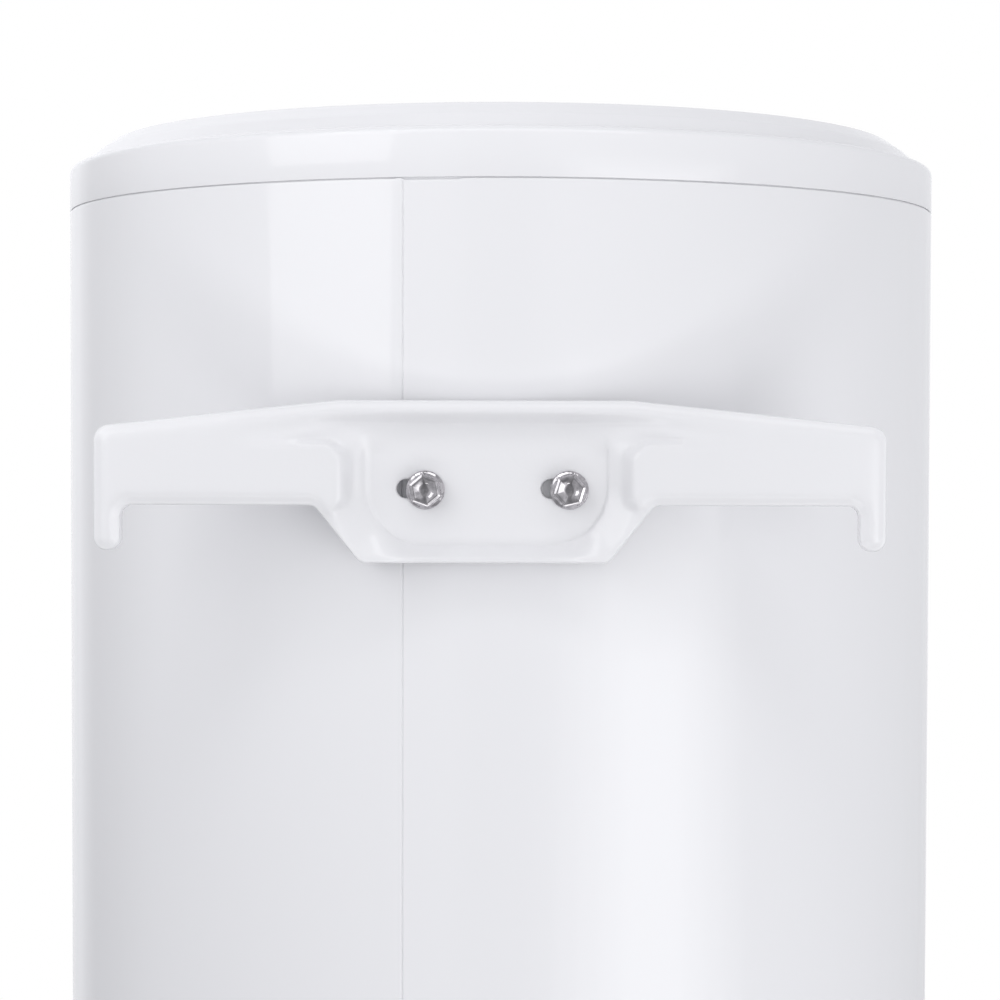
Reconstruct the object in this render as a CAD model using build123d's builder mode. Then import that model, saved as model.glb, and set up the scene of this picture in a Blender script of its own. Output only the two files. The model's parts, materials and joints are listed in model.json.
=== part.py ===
from build123d import *
import os
from math import cos, radians, sin

os.makedirs("parts", exist_ok=True)

# A wall-hung electric storage water heater of the 50 litre class, 450 mm across.
# +Z is up, the front faces -Y, and the wall is the plane Y = 0.
# The origin lies in the wall plane, midway between the two bracket bolts, at the height
# of the arm edges that rest on the wall hooks.

# ---------------------------------------------------------------- driving dimensions
GAP = 0.2                 # clearance between neighbouring curved pieces
RUNNING = 0.05            # radial clearance of anything that turns or slides
OVERCUT = 5.0             # how far a cut runs on past what it cuts

CASING_R = 225.0
CASING_WALL = 0.8
CASING_TOP = 142.5
CASING_BOTTOM = -322.5
SEAM_ANGLE = 90 - 10.7    # the lap seam, measured from +X about the tank's axis
SEAM_WIDTH = 0.5
SEAM_DEPTH = 0.45
SEAM_LAP = 9.0            # width of the folded lap inside the casing
SEAM_LAP_H = 1.2          # and its thickness
SEAM_LAP_END = 13.0       # the lap stops this far from the casing's ends

WALL_GAP = 15.0           # casing's rearmost line to the wall plane
AXIS_Y = -(CASING_R + WALL_GAP)

GROOVE = 1.0              # open groove between casing and caps
CAP_BASE = CASING_TOP + GROOVE
BOTTOM_BASE = CASING_BOTTOM - GROOVE
CAP_WALL = 2.5
SKIRT_H = 17.5            # straight part of a cap's skirt
SHOULDER = (220.4, 24.7)  # radius and height above the cap's base
RISE = (212.0, 29.5)
CROWN_FOOT = (203.2, 35.3)
CROWN_EDGE = (192.2, 36.7)
CROWN_TOP = 46.5
FLOOR_H = 37.5            # depth of the flat floor of the bottom cap
FOAM_SHRINK = 1.5         # the foam stays this far under the top cap
LAP_R = CASING_R - CASING_WALL - SEAM_LAP_H / 3
LIP_GAP = 0.3             # lip of a cap to the casing's inside
LIP_WALL = 2.3
LIP_H = 11.0
FLOOR_EASE = 12.0         # the flat floor starts this far inside the crown's edge

TANK_R = 193.0
TANK_WALL = 2.0
TANK_TOP = 97.0           # upper end of the tank's cylinder
TANK_BOTTOM = -245.0
DOME_H = 66.0
KNUCKLE_R = 25.0          # the dished ends are two tangent arcs: knuckle and crown
CROWN_R = ((TANK_R - KNUCKLE_R) ** 2 + DOME_H**2 - KNUCKLE_R**2) / (2 * (DOME_H - KNUCKLE_R))

PLATE = 2.5               # sheet thickness of the wall bracket
BRACKET_X = 3.25          # the slots let the bracket sit a little off centre
BRACKET_TOP = 45.7
BRACKET_TOP_HALF = 63.8   # half length of the level top edge
ARM_TIP_TOP = 34.1
ARM_END = 172.1
PRONG_W = 11.85
PRONG_BOTTOM = -19.7
TAB_BOTTOM = -25.1
TAB_HALF_TOP = 74.0
TAB_HALF_BOTTOM = 54.0
RING_HALF = 64.5
WEDGE_FOOT_Z = 26.0       # the ring's wedges rise from here at its sides
WEDGE_TIP_Z = 41.0        # to here at their tips
WEDGE_TIP = 115.0
RING_DEPTH = 6.0          # the stepped ring lies this far in front of the wall plane
PANEL_HALF = 52.7
PANEL_TOP = 42.0
PANEL_BOTTOM = -18.1
PANEL_CORNER = 22.0
PANEL_TOP_CORNER = 3.0
PANEL_DEPTH = 12.0        # and the middle panel this far
ARM_RIM = RING_DEPTH + PLATE   # depth of the rolled rim along the arms
SLOT_X = 31.6
SLOT_Z = 7.0
SLOT_L = 20.0
SLOT_W = 10.0
OUTER_TIP_R = 7.0
PRONG_TIP_R = 5.8
NOTCH_R = 5.0
TAB_TIP_R = 5.0

BOLT_X = 31.5
BOLT_Z = 6.5
M8_R = 4.0
M8_AF = 13.0
BOLT_FLANGE_R = 8.5
BOLT_FLANGE_H = 1.6
BOLT_HEAD_H = 7.8
BOLT_L = 35.0
BOSS_R = 9.0
BOSS_BAND = 2 * BOSS_R + 2     # height of the level band that holds the bosses
HEAD_CONE_H = 1.6
HEAD_CONE_TAPER = 40.0
HEAD_DIMPLE_R = 3.9
HEAD_DIMPLE_H = 0.7

COLLAR_BORE = 40.0
COLLAR_NECK_R = 49.8
COLLAR_R = 58.0
COLLAR_TOP = -300.0
COLLAR_STEP = -309.0
COLLAR_FACE = -322.0
COLLAR_WELL_R = 70.0      # well in the foam round the collar
COLLAR_WELL_H = 39.0
GASKET_H = 3.0
FLANGE_H = 5.0
FLANGE_TOP = COLLAR_FACE - GASKET_H
FLANGE_BOTTOM = FLANGE_TOP - FLANGE_H
STUD_PCD = 98.0
STUD_COUNT = 5
STUD_START = 18.0
STUD_TOP = -314.0
STUD_BOTTOM = -342.0
NUT_H = 6.5

ELEMENT_X = 20.0
ELEMENT_Y = 14.0
ELEMENT_R = 4.0
ELEMENT_TOP = -70.0
ELEMENT_END = -343.0
BUSH_R = 6.0
BUSH_H = 5.0
ANODE_Y = 24.0
ANODE_R = 11.0
ANODE_ROD_R = 3.0
ANODE_BOTTOM = -300.0
ANODE_TOP = -110.0
ANODE_END = -340.0
ANODE_NUT_AF = 10.0
ANODE_NUT_H = 5.0

POCKET_Y = -14.0
POCKET_R = 6.5
POCKET_BORE = 5.0
POCKET_TOP = -70.0
POCKET_WALL = 1.5
STAT_W = 44.0
STAT_D = 34.0
STAT_H = 27.0
STAT_CORNER = 3.0
STAT_BOTTOM = FLANGE_BOTTOM - STAT_H
STEM_R = 4.0
STEM_TOP = -90.0
SPINDLE_R = 3.0
SPINDLE_TOP = -345.0
SPINDLE_BOTTOM = -384.0
BUTTON_X = 14.0
BUTTON_Y = -24.0
BUTTON_R = 2.5
BUTTON_ROUND = 0.6
BUTTON_TOP = -349.0
BUTTON_BOTTOM = -360.0
BUTTON_BORE_TOP = -345.0

PIPE_X = 50.0
PIPE_Y = 105.0
PIPE_R = 10.65            # outer radius of a half-inch steel pipe
THREAD_R = 10.48          # and of its thread
THREAD_H = 24.8
PIPE_BORE = 8.0
PIPE_TOP = -277.0
PIPE_BOTTOM = -392.0
RISER_R = 7.9
RISER_BORE = 6.5
RISER_TOP = 136.0
RISER_BOTTOM = -310.0
DIFFUSER_R = 13.0
DIFFUSER_TOP = -258.0
DIFFUSER_WALL = 2.0
DIFFUSER_SLEEVE = 8.0     # how far it reaches down over the pipe
DIFFUSER_SLOT_W = 5.0
DIFFUSER_SLOT_H = 14.0
COLLAR_RING_R = 17.0
COLLAR_RING_H = 5.0
COLLAR_RING_CHAMFER = 1.2
PIPE_CHAMFER = 0.8

FLOOR_Z = BOTTOM_BASE - FLOOR_H
FLOOR_INSIDE = FLOOR_Z + CAP_WALL
COVER_Y = -20.0
COVER_W = 190.0
COVER_D = 170.0
COVER_H = 10.0
COVER_CORNER = 28.0
COVER_WALL = 2.5
COVER_ROUND = 4.0         # rounding of the cover's lower edge
COVER_RIM = 4.0           # its rim is thicker than its face
COVER_BOSS_R = 5.0
COVER_Z = FLOOR_Z - COVER_H
OPENING_W = 148.0
OPENING_D = 128.0
OPENING_CORNER = 18.0
SCREW_X = 83.0
SCREW_Y = 55.0            # cover screws, to each side of the cover's middle
SCREW_R = 1.95
SCREW_HEAD_R = 4.0
SCREW_HEAD_H = 2.2
CROSS_L = 4.4             # cross recess of the screws
CROSS_W = 0.95
CROSS_H = 1.3
SCREW_L = 17.0

KNOB_R = 21.0
KNOB_H = 15.0
KNOB_TAPER = 5.0
KNOB_ROUND = 1.5
GRIP_COUNT = 12           # scallops round the knob
GRIP_R = 2.6
GRIP_OUT = 1.4            # their centres lie this far outside the knob
KNOB_CLEAR = 1.0          # knob to cover
KNOB_TOP = COVER_Z - KNOB_CLEAR

SWITCH_X = 52.0
SWITCH_Y = -62.0
SWITCH_W = 28.0
SWITCH_D = 20.0
BEZEL_LIP = 2.0
BEZEL_FRAME = 2.5         # the bezel stands this far out all round
SWITCH_TOP = COVER_Z + 23.0
ROCKER_HALF = 11.0
ROCKER_W = 12.8
ROCKER_TILT = 8.0
ROCKER_BACK = 5.0         # height of the rocker behind its pivot
ROCKER_BACK_HALF = 6.0
ROCKER_FACE = -5.0        # its finger ends, below the pivot
ROCKER_DIP = -3.6         # and the middle of its face
ROCKER_Z = COVER_Z + 1.5
ROCKER_PIN_R = 1.5
ROCKER_PIN_L = 16.4
ROCKER_WELL_HALF = 11.9
ROCKER_WELL_W = 13.4
ROCKER_WELL_TOP = COVER_Z + 11.0

LAMP_Y = -62.0
LAMP_XS = {"power_lamp": -44.0, "heating_lamp": -60.0}
LAMP_R = 3.5
LAMP_FLANGE_R = 4.8
LAMP_H = 10.0
LAMP_FLANGE_H = 1.6
LAMP_ROUND = 1.2

GLAND_X = 112.0
GLAND_Y = 20.0
GLAND_R = 8.0
GLAND_BORE = 4.5
GLAND_AF = 19.0
GLAND_SHOULDER_H = 5.0
GLAND_DOME_H = 16.0
GLAND_NUT_H = 4.5
GLAND_TAPER = 14.0
GLAND_TOP = FLOOR_INSIDE + 8.0

BLOCK_X = 100.0
BLOCK_Y = -35.0
BLOCK_W = 20.0
BLOCK_D = 42.0
BLOCK_H = 14.0
POLE_PITCH = 13.0
POLE_R = 2.2
POLE_H = 3.0
WIRE_R = 1.2
WIRE_Z = -352.0
WIRE_BEND = 6.0
ELEMENT_WIRE_BEND = 2.5
ELEMENT_WIRE_X = 14.0     # where the element's wires leave the thermostat
SWITCHED_WIRE_X = -6.0    # and where the switched wire enters it
NEUTRAL_Y = -20.0
EARTH_X = 33.0
EARTH_Y = -10.0
EARTH_R = 2.0
EARTH_HEAD_R = 4.5
EARTH_HEAD_H = 3.5

GAUGE_Z = -150.0
GAUGE_HOLE_R = 26.5
GAUGE_CUP_R = 26.0
GAUGE_BACK = 211.0        # distances in front of the tank's axis
GAUGE_DIAL_BACK = 219.4
GAUGE_DIAL_FRONT = 220.2
GAUGE_NEEDLE_BACK = 222.0
GAUGE_NEEDLE_FRONT = 222.8
GAUGE_LENS_BACK = 225.5
GAUGE_LENS_FRONT = 227.0
GAUGE_CUP_FRONT = 227.2
GAUGE_BEZEL_FRONT = 229.6
GAUGE_BEZEL_R = 31.0
GAUGE_VIEW_R = 23.0
GAUGE_WALL = 1.4
GAUGE_LEDGE_H = 1.5
GAUGE_BEZEL_BACK = 219.0
GAUGE_BEZEL_ROUND = 1.6
NEEDLE_L = 18.0
NEEDLE_TAIL = 6.0
NEEDLE_PIN_R = 0.9
NEEDLE_HUB_R = 2.8
NEEDLE_ROOT_HALF = 1.1
NEEDLE_TIP_HALF = 0.3
NEEDLE_PIN_L = 7.6
NEEDLE_REST = -115.0      # cold end of the scale, turned about Y from straight up
SENSOR_R = 3.0

CAP_SCREW_ANGLES = (30, 150, 270)
CAP_SCREW_Z = CASING_BOTTOM + 5.5

# ---------------------------------------------------------------- planes and outlines
TANK_AXIS = Axis((0, AXIS_Y, 0), (0, 0, 1))
SIDE = Plane.XZ.offset(-AXIS_Y)        # upright plane through the tank's axis
BRACKET = Plane(origin=(BRACKET_X, 0, 0), x_dir=(1, 0, 0), z_dir=(0, -1, 0))


def level(z):
    """Horizontal plane at height z, centred on the tank's axis."""
    return Plane((0, AXIS_Y, z))


def front(distance):
    """Upright plane facing the front, this far in front of the tank's axis."""
    return Plane(origin=(0, AXIS_Y - distance, GAUGE_Z), x_dir=(1, 0, 0), z_dir=(0, -1, 0))


def spot(x, y, z):
    """Point given from the tank's axis."""
    return (x, AXIS_Y + y, z)


def cap_face(base, inset, top, way):
    """Half section of a cap, filled to the axis. way is 1 for upwards and -1 for downwards."""

    def point(radius, height):
        return (radius - inset, base + way * (height - inset))

    foot = (CASING_R - inset, base)
    apex = (0, base + way * (top - inset))
    with BuildSketch(SIDE) as half:
        with BuildLine():
            skirt = Line(foot, point(CASING_R, SKIRT_H))
            shoulder = TangentArc(skirt @ 1, point(*SHOULDER), tangent=(0, way))
            slope = Polyline(shoulder @ 1, point(*RISE), point(*CROWN_FOOT), point(*CROWN_EDGE))
            if top == CROWN_TOP:
                TangentArc(apex, slope @ 1, tangent=(1, 0))
            else:
                Polyline(slope @ 1, (CROWN_EDGE[0] - FLOOR_EASE, apex[1]), apex)
            Polyline(apex, (0, base), foot)
        make_face()
    return half.sketch


def lip_face(base, way):
    """Half section of the lip of a cap that reaches inside the casing."""
    outside = CASING_R - CASING_WALL - LIP_GAP
    inside = outside - LIP_WALL
    with BuildSketch(SIDE) as half:
        with BuildLine():
            Polyline(
                (outside, base - way * LIP_H),
                (outside, base + way * CAP_WALL),
                (inside, base + way * CAP_WALL),
                (inside, base - way * LIP_H),
                close=True,
            )
        make_face()
    return half.sketch


def dome_arcs(base, way, grow):
    """Crown and knuckle arcs of a dished tank end, drawn from the axis out to the rim."""
    knuckle_r = KNUCKLE_R + grow
    crown_r = CROWN_R + grow
    reach = CROWN_R - KNUCKLE_R
    across = (TANK_R - KNUCKLE_R) / reach
    along = (CROWN_R - DOME_H) / reach
    apex = (0, base + way * (DOME_H + grow))
    meet = (crown_r * across, base + way * (DOME_H - CROWN_R + crown_r * along))
    rim = (TANK_R - KNUCKLE_R + knuckle_r, base)
    TangentArc(apex, meet, tangent=(1, 0))
    TangentArc(rim, meet, tangent=(0, way))
    return apex, rim


def dome_face(base, way):
    """Half section of a dished tank end."""
    with BuildSketch(SIDE) as half:
        with BuildLine():
            outer_apex, outer_rim = dome_arcs(base, way, 0)
            inner_apex, inner_rim = dome_arcs(base, way, -TANK_WALL)
            Line(outer_apex, inner_apex)
            Line(outer_rim, inner_rim)
        make_face()
    return half.sketch


def dome_fill(base, way):
    """Half section of the space that a tank end needs, filled to the axis."""
    with BuildSketch(SIDE) as half:
        with BuildLine():
            apex, rim = dome_arcs(base, way, GAP)
            Polyline(apex, (0, base), rim)
        make_face()
    return half.sketch


def bracket_outline(shrink=0.0):
    """Whole outline of the wall bracket, optionally drawn smaller all round."""
    with BuildSketch() as outline:
        with BuildLine():
            Polyline(
                (0, BRACKET_TOP),
                (BRACKET_TOP_HALF, BRACKET_TOP),
                (ARM_END, ARM_TIP_TOP),
                (ARM_END, PRONG_BOTTOM),
                (ARM_END - PRONG_W, PRONG_BOTTOM),
                (ARM_END - PRONG_W, 0),
                (TAB_HALF_TOP, 0),
                (TAB_HALF_BOTTOM, TAB_BOTTOM),
                (0, TAB_BOTTOM),
            )
            mirror(about=Plane.YZ)
        make_face()
        outer_tips = outline.vertices().filter_by(lambda v: v.Y > 30 and abs(v.X) > 150)
        fillet(outer_tips, OUTER_TIP_R)
        prong_tips = outline.vertices().filter_by(lambda v: v.Y < -15 and abs(v.X) > 100)
        fillet(prong_tips, PRONG_TIP_R)
        notches = outline.vertices().filter_by(lambda v: abs(v.Y) < 1 and abs(v.X) > 60)
        fillet(notches, NOTCH_R)
        tab_tips = outline.vertices().filter_by(lambda v: v.Y < -20 and abs(v.X) > 50)
        fillet(tab_tips, TAB_TIP_R)
        if shrink:
            offset(amount=-shrink, mode=Mode.REPLACE)
    return outline.sketch


def bracket_ring(grow=0.0):
    """Stepped middle of the bracket, with the wedges that run out along the top edge."""
    half = RING_HALF + grow
    tip = WEDGE_TIP + grow
    with BuildSketch() as ring:
        with BuildLine():
            Polyline(
                (0, BRACKET_TOP + OVERCUT),
                (tip, BRACKET_TOP + OVERCUT),
                (tip, WEDGE_TIP_Z),
                (half, WEDGE_FOOT_Z + grow),
                (half, TAB_BOTTOM - OVERCUT),
                (0, TAB_BOTTOM - OVERCUT),
            )
            mirror(about=Plane.YZ)
        make_face()
    return ring.sketch


def bracket_panel(grow=0.0):
    """Sunk middle panel of the bracket, with two rounded lower corners."""
    half = PANEL_HALF + grow
    height = PANEL_TOP - PANEL_BOTTOM + 2 * grow
    with BuildSketch() as panel:
        with Locations((0, (PANEL_TOP + PANEL_BOTTOM) / 2)):
            Rectangle(2 * half, height)
        fillet(panel.vertices().group_by(Axis.Y)[0], PANEL_CORNER + grow)
        fillet(panel.vertices().group_by(Axis.Y)[-1], PANEL_TOP_CORNER)
    return panel.sketch


# ---------------------------------------------------------------- outer shell
with BuildPart() as casing:
    with BuildSketch(level(CASING_BOTTOM)):
        Circle(CASING_R)
        Circle(CASING_R - CASING_WALL, mode=Mode.SUBTRACT)
    extrude(amount=CASING_TOP - CASING_BOTTOM)
    # The rolled sheet closes in a folded lap behind a fine open line. The lap stops short
    # of the cap lips and of the bosses behind the bracket.
    with BuildSketch(level(CASING_BOTTOM + SEAM_LAP_END)):
        with PolarLocations(LAP_R, 1, start_angle=SEAM_ANGLE):
            Rectangle(SEAM_LAP_H, SEAM_LAP)
    extrude(amount=CASING_TOP - CASING_BOTTOM - 2 * SEAM_LAP_END)
    with BuildSketch(level(BOLT_Z - BOSS_BAND / 2)):
        Circle(CASING_R - CASING_WALL)
    extrude(amount=BOSS_BAND, mode=Mode.SUBTRACT)
    with BuildSketch(level(CASING_BOTTOM)):
        with PolarLocations(CASING_R, 1, start_angle=SEAM_ANGLE):
            Rectangle(2 * SEAM_DEPTH, SEAM_WIDTH)
    extrude(amount=CASING_TOP - CASING_BOTTOM, mode=Mode.SUBTRACT)
    with BuildSketch(Plane.XZ):
        with Locations((-BOLT_X, BOLT_Z), (BOLT_X, BOLT_Z)):
            Circle(M8_R + 1)
    extrude(amount=WALL_GAP + BOLT_L, mode=Mode.SUBTRACT)
    with BuildSketch(front(GAUGE_BACK)):
        Circle(GAUGE_HOLE_R)
    extrude(amount=CASING_R - GAUGE_BACK + OVERCUT, mode=Mode.SUBTRACT)
    for angle in CAP_SCREW_ANGLES:
        way = (cos(radians(angle)), sin(radians(angle)), 0)
        with BuildSketch(Plane(origin=spot(0, 0, CAP_SCREW_Z), z_dir=way)):
            Circle(SCREW_R + GAP)
        extrude(amount=CASING_R + OVERCUT, mode=Mode.SUBTRACT)
casing.part.label = "outer_casing"
export_step(casing.part, "parts/outer_casing.step")

with BuildPart() as top_cap:
    add(cap_face(CAP_BASE, 0, CROWN_TOP, 1))
    revolve(axis=TANK_AXIS)
    add(cap_face(CAP_BASE, CAP_WALL, CROWN_TOP, 1))
    revolve(axis=TANK_AXIS, mode=Mode.SUBTRACT)
    add(lip_face(CAP_BASE, 1))
    revolve(axis=TANK_AXIS)
top_cap.part.label = "top_cap"
export_step(top_cap.part, "parts/top_cap.step")

with BuildPart() as bottom_cap:
    add(cap_face(BOTTOM_BASE, 0, FLOOR_H, -1))
    revolve(axis=TANK_AXIS)
    add(cap_face(BOTTOM_BASE, CAP_WALL, FLOOR_H, -1))
    revolve(axis=TANK_AXIS, mode=Mode.SUBTRACT)
    add(lip_face(BOTTOM_BASE, -1))
    revolve(axis=TANK_AXIS)
    with BuildSketch(level(FLOOR_Z)):
        with Locations((0, COVER_Y)):
            RectangleRounded(OPENING_W, OPENING_D, OPENING_CORNER)
        with Locations((-PIPE_X, PIPE_Y), (PIPE_X, PIPE_Y)):
            Circle(PIPE_R + 2 * GAP)
        with Locations((GLAND_X, GLAND_Y)):
            Circle(GLAND_R + RUNNING)
        with Locations((0, COVER_Y)):
            with GridLocations(2 * SCREW_X, 2 * SCREW_Y, 2, 2):
                Circle(SCREW_R + RUNNING)
    extrude(amount=CAP_WALL + OVERCUT, both=True, mode=Mode.SUBTRACT)
    for angle in CAP_SCREW_ANGLES:
        way = (cos(radians(angle)), sin(radians(angle)), 0)
        with BuildSketch(Plane(origin=spot(0, 0, CAP_SCREW_Z), z_dir=way)):
            Circle(SCREW_R + RUNNING)
        extrude(amount=CASING_R + OVERCUT, mode=Mode.SUBTRACT)
bottom_cap.part.label = "bottom_cap"
export_step(bottom_cap.part, "parts/bottom_cap.step")

with BuildPart() as cap_screws:
    for angle in CAP_SCREW_ANGLES:
        way = (cos(radians(angle)), sin(radians(angle)), 0)
        seat = Plane(origin=spot(CASING_R * way[0], CASING_R * way[1], CAP_SCREW_Z), z_dir=way)
        with BuildSketch(seat.offset(RUNNING)):
            Circle(SCREW_HEAD_R)
        extrude(amount=SCREW_HEAD_H)
        with BuildSketch(seat.offset(RUNNING)):
            Circle(SCREW_R)
        extrude(amount=-CASING_WALL - LIP_GAP - LIP_WALL)
        with BuildSketch(seat.offset(RUNNING + SCREW_HEAD_H)):
            Rectangle(CROSS_L, CROSS_W)
            Rectangle(CROSS_W, CROSS_L)
        extrude(amount=-CROSS_H, mode=Mode.SUBTRACT)
cap_screws.part.label = "cap_screws"
export_step(cap_screws.part, "parts/cap_screws.step")

# ---------------------------------------------------------------- tank
with BuildPart() as shell:
    with BuildSketch(level(TANK_BOTTOM)):
        Circle(TANK_R)
        Circle(TANK_R - TANK_WALL, mode=Mode.SUBTRACT)
    extrude(amount=TANK_TOP - TANK_BOTTOM)
shell.part.label = "tank_shell"
export_step(shell.part, "parts/tank_shell.step")

with BuildPart() as top_dome:
    add(dome_face(TANK_TOP, 1))
    revolve(axis=TANK_AXIS)
top_dome.part.label = "tank_top_dome"
export_step(top_dome.part, "parts/tank_top_dome.step")

with BuildPart() as bottom_dome:
    add(dome_face(TANK_BOTTOM, -1))
    revolve(axis=TANK_AXIS)
    with BuildSketch(level(TANK_BOTTOM)):
        Circle(COLLAR_NECK_R + GAP)
        with Locations((-PIPE_X, PIPE_Y), (PIPE_X, PIPE_Y)):
            Circle(PIPE_R + GAP)
    extrude(amount=-DOME_H - OVERCUT, mode=Mode.SUBTRACT)
bottom_dome.part.label = "tank_bottom_dome"
export_step(bottom_dome.part, "parts/tank_bottom_dome.step")

with BuildPart() as bosses:
    with BuildSketch(Plane.XZ):
        with Locations((-BOLT_X, BOLT_Z), (BOLT_X, BOLT_Z)):
            Circle(BOSS_R)
            Circle(M8_R + RUNNING, mode=Mode.SUBTRACT)
    extrude(amount=WALL_GAP + CASING_R - TANK_R + OVERCUT)
    with BuildSketch(level(BOLT_Z - BOSS_BAND / 2)):
        Circle(CASING_R - CASING_WALL - GAP)
        Circle(TANK_R + RUNNING, mode=Mode.SUBTRACT)
    extrude(amount=BOSS_BAND, mode=Mode.INTERSECT)
bosses.part.label = "bracket_bosses"
export_step(bosses.part, "parts/bracket_bosses.step")

with BuildPart() as foam:
    with BuildSketch(level(COLLAR_FACE)):
        Circle(CASING_R - CASING_WALL - LIP_GAP - LIP_WALL - GAP)
    extrude(amount=CAP_BASE + CAP_WALL + FOAM_SHRINK - COLLAR_FACE)
    with BuildSketch(level(CASING_BOTTOM + SEAM_LAP_END)):
        Circle(CASING_R - CASING_WALL - GAP)
    extrude(amount=CASING_TOP - CASING_BOTTOM - 2 * SEAM_LAP_END)
    add(cap_face(CAP_BASE, CAP_WALL + FOAM_SHRINK, CROWN_TOP, 1))
    revolve(axis=TANK_AXIS)
    # The tank, swollen by a hair, leaves its own shape in the foam.
    with BuildSketch(level(TANK_BOTTOM)):
        Circle(TANK_R + GAP)
    extrude(amount=TANK_TOP - TANK_BOTTOM, mode=Mode.SUBTRACT)
    add(dome_fill(TANK_TOP, 1))
    add(dome_fill(TANK_BOTTOM, -1))
    revolve(axis=TANK_AXIS, mode=Mode.SUBTRACT)
    with BuildSketch(level(COLLAR_FACE)):
        Circle(COLLAR_WELL_R)
        with Locations((-PIPE_X, PIPE_Y), (PIPE_X, PIPE_Y)):
            Circle(PIPE_R + GAP)
    extrude(amount=COLLAR_WELL_H, mode=Mode.SUBTRACT)
    with BuildSketch(level(CASING_BOTTOM + LIP_H)):
        with PolarLocations(LAP_R, 1, start_angle=SEAM_ANGLE):
            Rectangle(SEAM_LAP_H + 4 * GAP, SEAM_LAP + 4 * GAP)
    extrude(amount=CASING_TOP - CASING_BOTTOM - 2 * LIP_H, mode=Mode.SUBTRACT)
    with BuildSketch(Plane.XZ):
        with Locations((-BOLT_X, BOLT_Z), (BOLT_X, BOLT_Z)):
            Circle(BOSS_R + GAP)
    extrude(amount=WALL_GAP + CASING_R - TANK_R + OVERCUT, mode=Mode.SUBTRACT)
    with BuildSketch(front(GAUGE_BACK - 1)):
        Circle(GAUGE_CUP_R + GAP)
    extrude(amount=CASING_R - GAUGE_BACK + OVERCUT, mode=Mode.SUBTRACT)
    with BuildSketch(front(TANK_R - OVERCUT)):
        Circle(SENSOR_R + GAP)
    extrude(amount=GAUGE_BACK - TANK_R + OVERCUT, mode=Mode.SUBTRACT)
foam.part.label = "insulation_foam"
export_step(foam.part, "parts/insulation_foam.step")

# ---------------------------------------------------------------- wall bracket
with BuildPart() as bracket:
    full_depth = PANEL_DEPTH + PLATE
    with BuildSketch(BRACKET):
        add(bracket_outline())
    extrude(amount=full_depth)
    with BuildSketch(BRACKET):
        add(bracket_ring())
    extrude(amount=RING_DEPTH, mode=Mode.SUBTRACT)
    with BuildSketch(BRACKET):
        add(bracket_panel())
    extrude(amount=PANEL_DEPTH, mode=Mode.SUBTRACT)
    # The back is hollow: the sheet follows the three levels at one thickness.
    with BuildSketch(BRACKET.offset(PLATE)):
        add(bracket_outline(shrink=PLATE))
        add(bracket_ring(grow=PLATE), mode=Mode.SUBTRACT)
    extrude(amount=full_depth, mode=Mode.SUBTRACT)
    with BuildSketch(BRACKET.offset(ARM_RIM)):
        add(bracket_outline(shrink=PLATE))
        add(bracket_panel(grow=PLATE), mode=Mode.SUBTRACT)
    extrude(amount=full_depth, mode=Mode.SUBTRACT)
    # The rim of the arms is shallower than that of the middle.
    arm_l = ARM_END - RING_HALF + OVERCUT
    with BuildSketch(BRACKET.offset(ARM_RIM)):
        with GridLocations(2 * RING_HALF + arm_l, 0, 2, 1):
            Rectangle(arm_l, ARM_END)
    extrude(amount=full_depth, mode=Mode.SUBTRACT)
    with BuildSketch(BRACKET):
        with Locations((-SLOT_X, SLOT_Z), (SLOT_X, SLOT_Z)):
            SlotOverall(SLOT_L, SLOT_W)
    extrude(amount=full_depth + OVERCUT, mode=Mode.SUBTRACT)
bracket.part.label = "wall_bracket"
export_step(bracket.part, "parts/wall_bracket.step")

with BuildPart() as bolts:
    seat = Plane.XZ.offset(PANEL_DEPTH)
    spots = ((-BOLT_X, BOLT_Z), (BOLT_X, BOLT_Z))
    with BuildSketch(seat):
        with Locations(spots):
            Circle(BOLT_FLANGE_R)
    extrude(amount=-BOLT_FLANGE_H)
    with BuildSketch(seat.offset(-BOLT_FLANGE_H)):
        with Locations(spots):
            Circle(BOLT_FLANGE_R - 0.4)
    extrude(amount=-HEAD_CONE_H, taper=HEAD_CONE_TAPER)
    with BuildSketch(seat.offset(-BOLT_FLANGE_H)):
        with Locations(spots):
            RegularPolygon(M8_AF / 2, 6, major_radius=False)
    extrude(amount=BOLT_FLANGE_H - BOLT_HEAD_H)
    with BuildSketch(seat.offset(-BOLT_HEAD_H)):
        with Locations(spots):
            Circle(HEAD_DIMPLE_R)
    extrude(amount=HEAD_DIMPLE_H, mode=Mode.SUBTRACT)
    with BuildSketch(seat):
        with Locations(spots):
            Circle(M8_R)
    extrude(amount=BOLT_L)
bolts.part.label = "bracket_bolts"
export_step(bolts.part, "parts/bracket_bolts.step")

# ---------------------------------------------------------------- flange and what it carries
with BuildPart() as collar:
    with BuildSketch(level(COLLAR_STEP)):
        Circle(COLLAR_NECK_R)
    extrude(amount=COLLAR_TOP - COLLAR_STEP)
    with BuildSketch(level(COLLAR_FACE)):
        Circle(COLLAR_R)
    extrude(amount=COLLAR_STEP - COLLAR_FACE)
    with BuildSketch(level(COLLAR_FACE)):
        Circle(COLLAR_BORE)
    extrude(amount=COLLAR_TOP - COLLAR_FACE, mode=Mode.SUBTRACT)
    with BuildSketch(level(COLLAR_FACE)):
        with PolarLocations(STUD_PCD / 2, STUD_COUNT, start_angle=STUD_START):
            Circle(M8_R + RUNNING)
    extrude(amount=STUD_TOP - COLLAR_FACE, mode=Mode.SUBTRACT)
collar.part.label = "flange_collar"
export_step(collar.part, "parts/flange_collar.step")

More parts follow.
